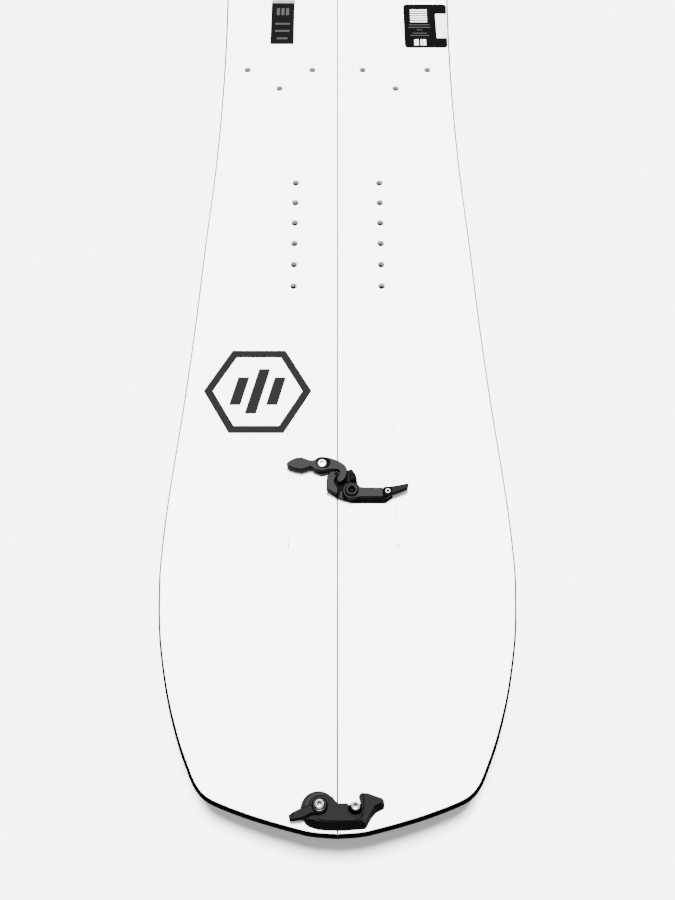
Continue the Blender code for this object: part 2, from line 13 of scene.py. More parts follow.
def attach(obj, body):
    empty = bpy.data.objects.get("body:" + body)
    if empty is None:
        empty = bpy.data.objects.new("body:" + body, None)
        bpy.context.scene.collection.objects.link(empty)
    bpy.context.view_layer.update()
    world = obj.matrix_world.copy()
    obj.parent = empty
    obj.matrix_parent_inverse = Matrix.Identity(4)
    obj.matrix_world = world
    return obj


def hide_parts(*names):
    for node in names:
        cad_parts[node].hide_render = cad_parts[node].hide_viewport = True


# Camera over the seam, looking towards the tail and down. Lens and sensor in millimetres.
CAMERA_PLACE = (0.0, -0.8446, 0.8234)
CAMERA_TILT = math.radians(64.86)
CAMERA_LENS = 40.0
SENSOR = 36.0
CLIP_START = 0.01

# Studio: a floor just under the board, an even sky, and one high soft sun behind the tail.
FLOOR_SIZE = 12.0
FLOOR_DROP = 0.0002
SKY_STRENGTH = 0.95
SUN_ELEVATION = math.radians(79)
SUN_STRENGTH = 24.4
SUN_SPREAD = math.radians(15)

# Driving dimensions of the board, as in the frame.
BOARD_LENGTH = 1.580
THICKNESS = 0.0080
SEAM_GAP = 0.0006
NOSE_SLOPE = math.radians(19)
NOSE_RAMP = 0.073
TAIL_SLOPE = math.radians(14)
TAIL_RAMP = 0.062
KICK_RADIUS = 0.480
STATION_STEP = 0.006

# Half outline of the assembled board: (half width, distance from the nose tip) where the curve bends.
OUTLINE = (
    (0.0000, 0.0000), (0.0160, 0.0010), (0.0302, 0.0038), (0.0605, 0.0121), (0.0867, 0.0213),
    (0.0993, 0.0277), (0.1070, 0.0359), (0.1134, 0.0475), (0.1250, 0.0735), (0.1373, 0.1100),
    (0.1476, 0.1560), (0.1520, 0.1990), (0.1526, 0.2270), (0.1503, 0.2800), (0.1431, 0.3700),
    (0.1376, 0.4550), (0.1324, 0.5640), (0.1282, 0.6380), (0.1257, 0.7150), (0.1249, 0.7900),
    (0.1258, 0.8700), (0.1287, 0.9600), (0.1341, 1.0700), (0.1398, 1.1700), (0.1447, 1.2620),
    (0.1454, 1.3050), (0.1432, 1.3550), (0.1356, 1.4220), (0.1232, 1.4850), (0.1121, 1.5280),
    (0.1058, 1.5460), (0.0993, 1.5545), (0.0867, 1.5610), (0.0605, 1.5690), (0.0302, 1.5760),
    (0.0000, BOARD_LENGTH),
)
OUTLINE_STEPS = 8

# Layers: depths under the top surface and widths in from the outline. A side whose outward normal has an X
# under SEAM_NORMAL lies along the seam.
TOPSHEET = 0.0008
TOPSHEET_ROUND = 0.0003
TOPSHEET_CURVE = ((0, 1), (0.13, 0.5), (0.5, 0.13), (1, 0))
HOLE_LIP = 0.00015
SUPPORT = 0.0003
SEAM_NORMAL = -0.5
SEAM_OPEN = 0.0002
SEAM_REACH = 0.00029
SIDE_LEAN = 0.0016
END_LEAN = 0.0006
SIDEWALL_STEP = 0.0002
SIDEWALL_SLANT = 0.0044
SLANT_EASE = 0.0003
SLANT_EASE_WIDTH = 0.0001
SIDEWALL_BOTTOM = 0.0058
SIDEWALL_WIDTH = 0.0050
EDGE_WIDTH = 0.0020
EDGE_COVERED = 0.0008
EDGE_ROUND = 0.00015
BASE_TOP = 0.0067

# Thin layers on top of others.
PRINT = 0.00005
LABEL_HIGH = 0.00028

# Threaded inserts: places are (distance from the seam, distance from the nose tip).
INSERT_PITCH = 0.0254
PACK_ROWS = 6
COLUMN_FROM_SEAM = 0.0430
FRONT_PACK = 0.568
REAR_PACK = 1.148
TOURING_BASE = 0.0710
TOURING_HEIGHT = 0.0270
TOURING_FROM_SEAM = 0.0630
TOURING_PLACE = 0.788
HEEL_SPREAD = 0.0500
HEEL_PLACE = 1.033
INSERT_RADIUS = 0.0034
INSERT_HOLE = 0.0035
INSERT_TOP = 0.0009
INSERT_LIP = 0.0002
THREAD_CREST = 0.0024
THREAD_ROOT = 0.0029
THREAD_PITCH = 0.0010
THREAD_TURNS = 4
STRIP_TOP = 0.0053
STRIP_BOTTOM = 0.0059
STRIP_MARGIN = 0.0055

# Hook clips: places are from the clip's middle, heights are above the topsheet.
FRONT_CLIP = 0.298
REAR_CLIP = 1.373
CLIP_FROM_SEAM = -0.0016
ARM_BOLT = (-0.0121, 0.0127)
LEVER_PIVOT = (0.0140, -0.0136)
GAP = 0.0003
BASE_HIGH = 0.0020
LINK_LOW = 0.0023
LINK_HIGH = 0.0042
TOP_LOW = 0.0045
TOP_HIGH = 0.0098
RIB_FLOOR = 0.0029
POCKET_FLOOR = 0.0077
POCKET_RADIUS = 0.0049
POCKET_LENGTH = 0.0022
DRAW_TRAVEL = 0.0035
SCREW_DEPTH = 0.0050
SCREW_SHANK = 0.0022
SOCKET_FLOOR = 0.5
ARM_BUSH_RADIUS = 0.0034
ARM_HEAD_RADIUS = 0.0042
ARM_SOCKET_RADIUS = 0.0021
ARM_SOCKET_DEPTH = 0.0016
PIVOT_BUSH_RADIUS = 0.0040
PIVOT_HEAD_RADIUS = 0.0050
PIVOT_HEAD_HIGH = 0.0119
PIVOT_SOCKET_RADIUS = 0.0034
PIVOT_SOCKET_LOBE = 0.0010
PIVOT_SOCKET_DEPTH = 0.0016
PIVOT_RIM_WIDTH = 0.0011
HUB_RADIUS = 0.0077
HUB_RING_RADIUS = 0.0062
HUB_RING_HIGH = 0.0107
HUB_RING_INNER = 0.0052
HUB_RING_CUPPED = 0.0056
HUB_RING_ROUND = 0.0004
ARM_UNDER_RADIUS = 0.0088
ARM_UNDER_TURN = 155
CHAMFER = 0.00045
CORNER = 0.0016

# Turned tops, as (cut from the radius, cut from the height), from the outside in.
ARM_HEAD = ((0, 0.0007), (0.0002, 0.0003), (0.0006, 0), (0.0015, -0.0001))
PIVOT_HEAD = ((0, 0.0009), (0.0003, 0.0004), (0.0009, 0), (0.0012, 0))
PIVOT_RIM = ((0.0003, 0.0004), (0.0006, -PRINT), (0.0010, -PRINT))
END_HEAD = ((0, 0.0009), (0.0003, 0.0004), (0.0008, 0.0001), (0.0012, 0))
WASHER_CUP = ((0, 0.0002), (0.0002, 0), (0.0006, 0), (0.0009, 0.0003))
WASHER_RIM = ((0, 0.0006), (0, 0.0001), (0.0002, -PRINT), (0.0005, -PRINT), (0.0007, 0.0001))

ARM_TAB = (
    (-0.0220, 0.0152), (-0.0253, 0.0163), (-0.0302, 0.0183), (-0.0355, 0.0177), (-0.0402, 0.0154),
    (-0.0442, 0.0120), (-0.0408, 0.0092), (-0.0363, 0.0076), (-0.0300, 0.0064), (-0.0256, 0.0080),
    (-0.0221, 0.0094),
)
ARM_HOOK = (
    (-0.0185, 0.0066), (-0.0123, 0.0050), (-0.0066, 0.0064), (0.0019, 0.0064), (0.0036, 0.0044),
    (0.0034, 0.0017), (0.0016, -0.0004), (0.0012, -0.0034), (0.0026, -0.0066), (0.0064, -0.0045),
    (0.0090, -0.0010), (0.0098, 0.0030), (0.0102, 0.0066), (0.0088, 0.0098), (0.0063, 0.0122),
    (0.0016, 0.0150), (-0.0047, 0.0176), (-0.0095, 0.0184), (-0.0140, 0.0181), (-0.0190, 0.0158),
)
DRAW_HOOK = (
    (-0.0020, 0.0042), (-0.0044, 0.0042), (-0.0076, 0.0004), (-0.0080, -0.0030), (-0.0080, -0.0122),
    (0.0014, -0.0172), (0.0020, -0.0115), (-0.0010, -0.0066), (-0.0012, -0.0040), (-0.0004, -0.0020),
    (0.0006, 0.0002),
)
DRAW_LINK = (
    (-0.0044, 0.0018), (-0.0070, -0.0010), (-0.0070, -0.0125), (0.0008, -0.0180), (0.0080, -0.0208),
    (0.0180, -0.0208), (0.0235, -0.0178), (0.0250, -0.0136), (0.0235, -0.0092), (0.0180, -0.0064),
    (0.0060, -0.0058), (0.0028, -0.0034), (0.0028, 0.0040), (0.0016, 0.0062), (-0.0014, 0.0060),
)
CLIP_BASE = (
    (0.0010, 0.0040), (0.0096, 0.0068), (0.0140, 0.0050), (0.0182, 0.0006), (0.0202, -0.0060),
    (0.0212, -0.0105), (0.0490, -0.0115), (0.0503, -0.0170), (0.0436, -0.0221), (0.0140, -0.0221),
    (0.0040, -0.0186), (0.0010, -0.0160),
)
RAIL = (
    (0.0150, -0.0206), (0.0440, -0.0206), (0.0480, -0.0176), (0.0464, -0.0168), (0.0436, -0.0186),
    (0.0150, -0.0186),
)
# Outline of a thin grey patch on the draw link: partly a raised web, partly a painted highlight along the
# link's rim.
LINK_WEB_HIGHLIGHT = (
    (0.0040, -0.0126), (0.0056, -0.0126), (0.0057, -0.0176), (0.0070, -0.0198), (0.0026, -0.0182),
    (0.0038, -0.0166),
)
RIB_GUIDE = (
    (0.0036, -0.0016), (0.0036, 0.0052), (0.0096, 0.0073), (0.0140, 0.0050), (0.0178, 0.0006),
    (0.0192, -0.0036),
)
RIB_BLOCK = (
    (0.0130, -0.0036), (0.0130, 0.0062), (0.0138, 0.0076), (0.0148, 0.0066), (0.0180, 0.0010),
    (0.0190, -0.0036),
)
LOW_RIB = (
    (0.0100, -0.0034), (0.0142, -0.0034), (0.0146, 0.0084), (0.0132, 0.0088), (0.0100, 0.0078),
)
TALL_RIBS = (
    ((0.0134, -0.0034), (0.0152, -0.0034), (0.0152, 0.0034), (0.0140, 0.0047), (0.0134, 0.0050)),
    ((0.0165, -0.0034), (0.0186, -0.0034), (0.0175, 0.0006), (0.0165, 0.0018)),
)
RIB_RISE = 0.0006
RIB_HIGH = 0.0094
LEVER_BAR = (
    (0.0185, -0.0070), (0.0212, -0.0102), (0.0250, -0.0107), (0.0412, -0.0110), (0.0415, -0.0196),
    (0.0200, -0.0198),
)
LEVER_TIP = (
    (0.0418, -0.0100), (0.0470, -0.0098), (0.0540, -0.0087), (0.0630, -0.0066), (0.0640, -0.0080),
    (0.0632, -0.0117), (0.0560, -0.0146), (0.0500, -0.0168), (0.0450, -0.0200), (0.0418, -0.0197),
)
TIP_PAD = (
    (0.0422, -0.0104), (0.0486, -0.0103), (0.0496, -0.0118), (0.0492, -0.0152), (0.0452, -0.0190),
    (0.0422, -0.0189),
)
TIP_MARK = (0.0456, -0.0142)
TIP_MARK_RADIUS = 0.0020
TIP_MARK_HOLE = 0.72
TIP_PAD_HIGH = 0.0102
TIP_PAD_CHAMFER = 0.00025
TANG = (0.0395, 0.0440, -0.0188, -0.0112)

# End clips: places are from the seam and up the ramp from the board's tip, heights are above the ramp.
END_BOLT = (-0.0130, 0.0172)
END_POST = (0.0130, 0.0172)
END_WALL_HIGH = 0.0042
END_PLATE_HIGH = 0.0063
END_CORNER = 0.0007
END_CHAMFER = 0.0005
BOTTOM_CHAMFER = 0.0002
BEAK_LOW = 0.0066
BEAK_HIGH = 0.0094
BEAK_FACET = 0.0016
BEAK_CHAMFER = 0.0013
HUB_OUTER = 0.0058
HUB_BEVEL = 0.0005
WASHER_HIGH = 0.0106
END_HEAD_HIGH = 0.0128
POST_HIGH = 0.0078
POST_HEAD_HIGH = 0.0096
END_BOSS_PLACE = (-0.0140, 0.0171)
END_BOSS_RADIUS = 0.0129
END_SHANK = 0.0026
END_SOCKET_RADIUS = 0.0018
END_SOCKET_DEPTH = 0.0014
WASHER_RADIUS = 0.0046
WASHER_RIM_WIDTH = 0.0008
END_HEAD_RADIUS = 0.0033
POST_RADIUS = 0.0037
POST_ROUND = 0.0004
POST_NOTCH_RADIUS = 0.0054
# A thin black disc under the post: painted shade in the gap between the collar and the plate's notch.
POST_SHADE_PAD_RADIUS = 0.0064
POST_SHADE_PAD_HIGH = 0.00022
POST_SWING_CLEARANCE = 0.0005

# Turns of the end clip's arcs, in degrees.
BOSS_START = -150
BOSS_END = -310
NOTCH_START = 200
NOTCH_END = 325
NOTCH_WALL_TOP = 13
RIM_START = 196
RIM_END = 340
RIDGE_START = 72
RIDGE_END = 190

NOSE_FLARE = 0.0016
NOSE_CHAMFER = 0.0042
RIDGE_OUTER = 0.0108
RIDGE_INNER = 0.0096
RIDGE_SHIFT = 0.0009
RIDGE_HIGH = 0.0007
RIM_WIDTH = 0.0015

# A groove in the plate, drawn as a flat black strip of painted shade, and the direction of its width at each
# of its points.
GROOVE = (
    (-0.0150, 0.0082), (-0.0090, 0.0070), (0.0000, 0.0066), (0.0110, 0.0068), (0.0156, 0.0080),
    (0.0180, 0.0102), (0.0192, 0.0138), (0.0195, 0.0180), (0.0195, 0.0274),
)
GROOVE_SIDE = ((0, 1), (0, 1), (0, 1), (0, 1), (0.4, 0.9), (0.8, 0.6), (1, 0.2), (1, 0), (1, 0))
GROOVE_WIDTH = 0.0008
# A black strip across the beak's top near its end: painted shade in the notch there.
BEAK_NOTCH_SHADE = ((-0.0328, 0.0118), (-0.0320, 0.0122), (-0.0313, 0.0084), (-0.0321, 0.0082))

END_STEPS = (
    (-0.0052, 0.0266), (-0.0028, 0.0250), (-0.0020, 0.0236), (0.0004, 0.0206), (0.0078, 0.0208),
    (0.0084, 0.0196),
)
END_TAB = (
    (0.0156, 0.0269), (0.0166, 0.0283), (0.0178, 0.0287), (0.0221, 0.0284), (0.0331, 0.0244),
    (0.0341, 0.0222), (0.0340, 0.0187), (0.0278, 0.0154), (0.0243, 0.0110), (0.0208, 0.0046),
    (0.0196, 0.0036), (0.0040, 0.0024), (-0.0080, 0.0025), (-0.0150, 0.0033), (-0.0200, 0.0050),
    (-0.0230, 0.0070),
)
BEAK = (
    (-0.0155, 0.0217), (-0.0185, 0.0190), (-0.0255, 0.0164), (-0.0322, 0.0130), (-0.0352, 0.0106),
    (-0.0341, 0.0061), (-0.0250, 0.0074), (-0.0184, 0.0110), (-0.0130, 0.0112), (-0.0084, 0.0132),
    (-0.0072, 0.0172), (-0.0086, 0.0211), (-0.0130, 0.0226),
)

# Print: places are (distance from the seam, distance from the nose tip), and bars are (place, half width).
EMBLEM_PLACE = (-0.0740, 0.3880)
EMBLEM_RADIUS = 0.0500
EMBLEM_BAND = 0.0085
EMBLEM_LEAN = 0.0060
EMBLEM_REACH = 0.0235
EMBLEM_BARS = ((-0.0170, 0.0145), (0.0, EMBLEM_REACH), (0.0170, 0.0145))
EMBLEM_BAR_HALF = 0.0052
CREASES = ((-0.0437, 0.2340, 0.3500), (0.0510, 0.2340, 0.3500))
CREASE_WIDTH = 0.0034
CREASE_HIGH = 0.00012
CREASE_ACROSS = ((-1, 0), (-0.6, 0.3), (-0.2, 1), (0.2, 1), (0.6, 0.3), (1, 0))
CREASE_ALONG = ((0, 0), (0.08, 0.8), (0.25, 1), (0.75, 1), (0.92, 0.8), (1, 0))

# The left label's four sides, its silver end, and its bars and blocks from its near end.
LEFT_LABEL = (-0.0748, -0.0488, 0.8265, 0.8900)
SILVER_SHIFT = 0.0003
SILVER_LENGTH = 0.0050
LEFT_BARS = ((0.0310, 0.0082), (0.0200, 0.0080), (0.0085, 0.0060))
LEFT_BAR_HEIGHT = 0.0026
BLOCK_PITCH = 0.0052
BLOCK_HALF = 0.0017
BLOCK_PLACE = 0.0500
BLOCK_HEIGHT = 0.0110

# The right label's inner side and ends, its blank field, hatched square, bars and ticks.
RIGHT_LABEL = (0.0745, 0.8210, 0.8880)
RIGHT_LABEL_SKEW = 0.0003
LABEL_CORNER = 0.0045
FIELD_INNER = (0.1108, 0.1104)
FIELD_ENDS = (0.8355, 0.8730)
FIELD_CORNER = 0.0008
HATCH_SIDES = (0.0820, 0.1010)
HATCH_START = 0.8610
HATCH_PITCH = 0.0036
HATCH_HEIGHT = 0.0019
HATCH_ROWS = 6
RIGHT_BARS = ((0.8560, 0.0115), (0.8520, 0.0125), (0.8480, 0.0030), (0.8430, 0.0080), (0.8395, 0.0105))
RIGHT_BARS_MIDDLE = 0.0920
RIGHT_BAR_HEIGHT = 0.0011
TICKS = ((0.0880, 0.0024), (0.0935, 0.0010), (0.0970, 0.0016))
TICK_PLACE = 0.8290
TICK_HEIGHT = 0.0090

ROUND = 40
SHARP = math.radians(38)
UNIT = Matrix.Identity(4)

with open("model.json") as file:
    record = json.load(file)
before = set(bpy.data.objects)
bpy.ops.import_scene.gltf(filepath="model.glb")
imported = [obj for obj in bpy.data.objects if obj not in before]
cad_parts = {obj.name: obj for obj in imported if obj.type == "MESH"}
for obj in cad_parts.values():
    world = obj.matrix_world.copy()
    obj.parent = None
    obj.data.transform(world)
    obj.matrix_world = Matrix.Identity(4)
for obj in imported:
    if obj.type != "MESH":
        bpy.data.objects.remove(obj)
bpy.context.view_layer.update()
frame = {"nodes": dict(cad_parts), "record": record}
record = frame["record"]
BODY_OF = {node: body for body, nodes in record["behaviour"]["bodies"].items() for node in nodes}


# Materials.


# Stretches of the noise along the board, and colours that aren't neutral.
PLAIN = (1, 1, 1)
BRUSHED = (1, 0.1, 1)
GROUND = (1, 0.02, 1)
GRAINED = (1, 0.03, 1)
WOOD_DARK = (0.42, 0.27, 0.13)
WOOD_LIGHT = (0.6, 0.42, 0.23)
INK_DARK = (0.0044, 0.0041, 0.0050)
INK_LIGHT = (0.0054, 0.0050, 0.0060)


def material(name, dark, light, roughness, metallic=0.0, specular=0.5, grain=900.0, bump=0.0, stretch=PLAIN):
    """A Principled material. Noise moves its colour from dark to light and its roughness over a range, and
    raises its surface by the bump height."""
    made = bpy.data.materials.new(name)
    made.use_nodes = True
    nodes = made.node_tree.nodes
    link = made.node_tree.links.new
    shader = nodes["Principled BSDF"]
    shader.inputs["Metallic"].default_value = metallic
    shader.inputs["Specular IOR Level"].default_value = specular
    place = nodes.new("ShaderNodeTexCoord")
    mapping = nodes.new("ShaderNodeMapping")
    mapping.inputs["Scale"].default_value = stretch
    noise = nodes.new("ShaderNodeTexNoise")
    noise.inputs["Scale"].default_value = grain
    noise.inputs["Detail"].default_value = 3.0
    colours = nodes.new("ShaderNodeValToRGB")
    colours.color_ramp.elements[0].position = 0.3
    colours.color_ramp.elements[1].position = 0.7
    colours.color_ramp.elements[0].color = (*dark, 1)
    colours.color_ramp.elements[1].color = (*light, 1)
    spread = nodes.new("ShaderNodeMapRange")
    spread.inputs["To Min"].default_value = roughness[0]
    spread.inputs["To Max"].default_value = roughness[1]
    link(place.outputs["Object"], mapping.inputs["Vector"])
    link(mapping.outputs["Vector"], noise.inputs["Vector"])
    link(noise.outputs["Fac"], colours.inputs["Fac"])
    link(noise.outputs["Fac"], spread.inputs["Value"])
    link(colours.outputs["Color"], shader.inputs["Base Color"])
    link(spread.outputs["Result"], shader.inputs["Roughness"])
    if bump:
        relief = nodes.new("ShaderNodeBump")
        relief.inputs["Strength"].default_value = 1.0
        relief.inputs["Distance"].default_value = bump
        link(noise.outputs["Fac"], relief.inputs["Height"])
        link(relief.outputs["Normal"], shader.inputs["Normal"])
    return made


def grey(value, blue=1.0):
    return (value, value, value * blue)


def matt(name, dark, light, roughness, specular, grain=900.0, bump=0.0, blue=1.0, stretch=PLAIN):
    """A neutral material that isn't metal. Blue scales its blue."""
    colours = grey(dark, blue), grey(light, blue)
    return material(name, *colours, roughness, 0.0, specular, grain, bump, stretch)


def metal(name, dark, light, roughness, grain=2500.0, stretch=PLAIN):
    return material(name, grey(dark), grey(light), roughness, 1.0, 0.5, grain, 0.0, stretch)


def board_finishes():
    """White topsheet, black side band, steel edge and inserts, dark base, and wood inside."""
    return {
        "topsheet": matt("topsheet_white", 0.82, 0.85, (0.45, 0.6), 0.3, bump=0.00001),
        # A little darker than the topsheet: painted shade along the raised creases.
        "crease": matt("topsheet_crease_shade", 0.76, 0.79, (0.5, 0.6), 0.2),
        "sidewall": matt("sidewall_abs", 0.0003, 0.0006, (0.4, 0.6), 0.0, bump=0.00002),
        # The steel is kept dark, and its outer side is near black with no shine: painted shade on the steel
        # edge.
        "edge": metal("edge_steel", 0.12, 0.20, (0.35, 0.5), 900.0, BRUSHED),
        "edge_side": matt("edge_side_painted_shade", 0.0004, 0.0010, (0.4, 0.5), 0.0, stretch=BRUSHED),
        "base": matt("base_sintered", 0.002, 0.004, (0.35, 0.55), 0.15, bump=0.00003, stretch=GROUND),
        "core": material("core_wood", WOOD_DARK, WOOD_LIGHT, (0.5, 0.7), grain=220, stretch=GRAINED),
        "stainless": metal("stainless_steel", 0.28, 0.40, (0.25, 0.4), 1500),
    }


def clip_finishes():
    """Bright and black screws, black anodised plates, and moulded nylon. The plates' grey tops and the
    nylon's lighter tops are partly their own tone and partly painted sheen.
    """
    return {
        "chrome": metal("polished_steel", 0.30, 0.38, (0.30, 0.38)),
        "cup": metal("polished_cup", 0.03, 0.05, (0.28, 0.36)),
        "rim": metal("screw_rim", 0.0025, 0.005, (0.25, 0.35)),
        # Grey top finish of the black anodised parts: partly grey tone, partly painted sheen from the
        # overhead light.
        "anodised": matt("anodised_grey", 0.0065, 0.0095, (0.5, 0.65), 0.03, 4000, 0.00003),
        "rib": matt("ribbed_grey", 0.0022, 0.0034, (0.5, 0.7), 0.01, 3000, 0.00003),
        "black": matt("anodised_black", 0.0003, 0.0006, (0.4, 0.55), 0.006, 3000),
        "grip": matt("grip_nylon", 0.0034, 0.0052, (0.5, 0.7), 0.01, 2200, 0.00008),
        "oxide": matt("black_oxide", 0.0005, 0.0010, (0.35, 0.45), 0.006, 2500),
        # Moulded nylon is lighter on its tops than on its walls: the tops partly painted sheen, and the
        # walls' darker copy painted shade.
        "moulded": matt("moulded_nylon_and_sheen", 0.0037, 0.0064, (0.5, 0.65), 0.012, 1600, 0.00005, 1.05),
        "wall": matt("moulded_wall_shade", 0.0005, 0.0012, (0.5, 0.65), 0.006, 1600, 0.00005),
    }


def print_finishes():
    """Label stock and inks."""
    weave = grey(0.0006), grey(0.0028, 1.15)
    return {
        "label": matt("label_black", 0.0008, 0.0014, (0.3, 0.45), 0.01, 500),
        "woven": material("label_woven", *weave, (0.5, 0.7), 0.0, 0.01, 2600, 0.00004),
        "silver": matt("label_silver", 0.10, 0.14, (0.4, 0.5), 0.1, 1200),
        "ink": material("emblem_ink", INK_DARK, INK_LIGHT, (0.5, 0.6), specular=0.01),
        "white_ink": matt("white_ink", 0.45, 0.6, (0.5, 0.6), 0.2),
        "grey_ink": matt("grey_ink", 0.010, 0.03, (0.5, 0.6), 0.05, 1500),
    }


# Flat outlines, as lists of 2D vectors that run anticlockwise.


def circle(centre, radius, sides=ROUND):
    turns = (2 * math.pi * i / sides for i in range(sides))
    return [Vector((centre[0] + radius * math.cos(t), centre[1] + radius * math.sin(t))) for t in turns]


def arc(centre, radius, start, end, steps):
    """Points on an arc, from start to end in degrees."""
    turns = (math.radians(start + (end - start) * i / steps) for i in range(steps + 1))
    return [Vector((centre[0] + radius * math.cos(t), centre[1] + radius * math.sin(t))) for t in turns]


def slot_outline(centre, radius, length, sides=ROUND // 2):
    """A slot that starts at centre and runs length along +X."""
    far = (centre[0] + length, centre[1])
    return arc(centre, radius, 90, 270, sides) + arc(far, radius, -90, 90, sides)


def box_outline(x0, x1, y0, y1):
    return [Vector((x0, y0)), Vector((x1, y0)), Vector((x1, y1)), Vector((x0, y1))]


def lobed(centre, radius, depth, lobes=6, sides=60):
    """A star socket's outline."""
    found = []
    for i in range(sides):
        turn = 2 * math.pi * i / sides
        reach = radius - depth * (0.5 - 0.5 * math.cos(lobes * turn))
        found.append(Vector((centre[0] + reach * math.cos(turn), centre[1] + reach * math.sin(turn))))
    return found


def anticlockwise(points):
    loop = [Vector(p) for p in points]
    area = sum(a.x * b.y - b.x * a.y for a, b in zip(loop, loop[1:] + loop[:1]))
    return loop if area > 0 else loop[::-1]


def rounded(points, radius=CORNER, steps=4):
    """The outline with each corner rounded as far as its sides allow."""
    corners = anticlockwise(points)
    share = 0.46
    loop = []
    for i, corner in enumerate(corners):
        before = corners[i - 1] - corner
        after = corners[(i + 1) % len(corners)] - corner
        half_turn = before.angle(after) / 2
        reach = min(radius / math.tan(half_turn), share * before.length, share * after.length)
        start = corner + before.normalized() * reach
        end = corner + after.normalized() * reach
        for k in range(steps + 1):
            t = k / steps
            loop.append(start * (1 - t) ** 2 + corner * 2 * t * (1 - t) + end * t**2)
    return loop


def inset(loop, width):
    """The loop moved inwards, with mitred corners. Width is a number or a function of the outward normal."""
    moved = []
    for i, here in enumerate(loop):
        before = (here - loop[i - 1]).normalized()
        after = (loop[(i + 1) % len(loop)] - here).normalized()
        normals = [Vector((-d.y, d.x)) for d in (before, after)]
        bisector = (normals[0] + normals[1]).normalized()
        amount = width(-bisector) if callable(width) else width
        moved.append(here + bisector * amount / bisector.dot(normals[0]))
    return moved


# Solids, as rings of corners joined by walls and closed by caps.


def ring(shape, loop, height):
    return [shape.verts.new((p.x, p.y, height)) for p in loop]


def wall(shape, first, second, slot=0):
    for i in range(len(first)):
        j = (i + 1) % len(first)
        face = shape.faces.new((first[i], first[j], second[j], second[i]))
        face.material_index = slot


def walls(shape, rings, slot=0):
    for first, second in zip(rings, rings[1:]):
        wall(shape, first, second, slot)


def cap(shape, rings, slot=0):
    """A flat face whose outline is the first ring, and whose holes are the others."""
    corners = [corner for loop in rings for corner in loop]
    for triangle in tessellate_polygon([[Vector((v.co.x, v.co.y, 0)) for v in loop] for loop in rings]):
        face = shape.faces.new([corners[i] for i in triangle])
        face.material_index = slot


def solid(shape, outline, levels, holes=(), top_slot=0):
    """A plate. Levels are (inset, height) from the bottom up. Each hole is (rings, blind), and its rings
    are (outline, height) from the top down; a blind hole has a floor."""
    sides = [ring(shape, inset(outline, width), height) for width, height in levels]
    walls(shape, sides)
    bottom = [sides[0]]
    top = [sides[-1]]
    for rings, blind in holes:
        inside = [ring(shape, loop, height) for loop, height in rings]
        walls(shape, inside)
        top.append(inside[0])
        if blind:
            cap(shape, [inside[-1]])
        else:
            bottom.append(inside[-1])
    cap(shape, bottom)
    cap(shape, top, top_slot)


def chamfered(low, high, chamfer=CHAMFER):
    """Levels of a plate with a chamfer round its top and a smaller one round its bottom."""
    return ((chamfer / 2, low), (0, low + chamfer / 2), (0, high - chamfer), (chamfer, high))


def bore(centre, radius, top, bottom, chamfer=GAP):
    """A round hole through a plate, chamfered at its top."""
    rings = (
        (circle(centre, radius + chamfer), top),
        (circle(centre, radius), top - chamfer),
        (circle(centre, radius), bottom),
    )
    return rings, False


def tube(shape, centre, bore_radius, profile, sides=ROUND):
    """A round solid with a straight bore."""
    skin = [ring(shape, circle(centre, radius, sides), height) for radius, height in profile]
    low, high = (ring(shape, circle(centre, bore_radius, sides), profile[i][1]) for i in (0, -1))
    walls(shape, [low, *skin, high])
    wall(shape, high, low)


def turned(radius, top, cuts):
    """A turned profile, from its cuts in from a radius and down from a top."""
    return [(radius - inwards, top - down) for inwards, down in cuts]


def screw(shape, centre, shank, head, socket, depth):
    """A screw: head is its profile from underneath to its top. The socket's walls have the second finish,
    black in every use here, as painted shade in the socket.
    """
    rings = [ring(shape, circle(centre, shank), -SCREW_DEPTH), ring(shape, circle(centre, shank), head[0][1])]
    rings += [ring(shape, circle(centre, radius), height) for radius, height in head]
    top = head[-1][1]
    middle = Vector(centre)
    floor = [middle + SOCKET_FLOOR * (Vector(point) - middle) for point in socket]
    recess = [ring(shape, socket, top), ring(shape, floor, top - depth)]
    walls(shape, rings)
    # Socket walls take the black finish: painted shade in the recess.
    walls(shape, recess, 1)
    cap(shape, [rings[0]])
    cap(shape, [rings[-1], recess[0]])
    cap(shape, [recess[-1]])


def mesh_object(name, shape, materials, place=UNIT):
    bmesh.ops.recalc_face_normals(shape, faces=shape.faces)
    mesh = bpy.data.meshes.new(name)
    shape.to_mesh(mesh)
    shape.free()
    mesh.transform(place)
    mesh.shade_smooth()
    mesh.set_sharp_from_angle(angle=SHARP)
    for made_material in materials:
        mesh.materials.append(made_material)
    made = bpy.data.objects.new(name, mesh)
    bpy.context.scene.collection.objects.link(made)
    return made


def extra(name, shape, finishes, node, place=UNIT):
    """A piece that goes with a CAD node, on its body. Its finishes are names."""
    made = mesh_object(name, shape, [FINISHES[finish] for finish in finishes], place)
    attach(made, BODY_OF[node])
    return made


def stand_in(node, shape, finishes, place=UNIT):
    """A piece that is shown in place of a CAD node."""
    made = extra(node + "_detail", shape, finishes, node, place)
    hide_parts(node)
    return made


# Board surface.


def rise_and_slope(distance, slope, ramp):
    """Height of the top surface over its flat stretch, and its slope, at a distance from that end's tip."""
    run = KICK_RADIUS * math.sin(slope)
    if distance <= ramp:
        return KICK_RADIUS * (1 - math.cos(slope)) + (ramp - distance) * math.tan(slope), slope
    if distance < ramp + run:
        turn = math.asin((ramp + run - distance) / KICK_RADIUS)
        return KICK_RADIUS * (1 - math.cos(turn)), turn
    return 0.0, 0.0


NOSE_TIP_Y = -(BOARD_LENGTH + THICKNESS * (math.sin(TAIL_SLOPE) - math.sin(NOSE_SLOPE))) / 2


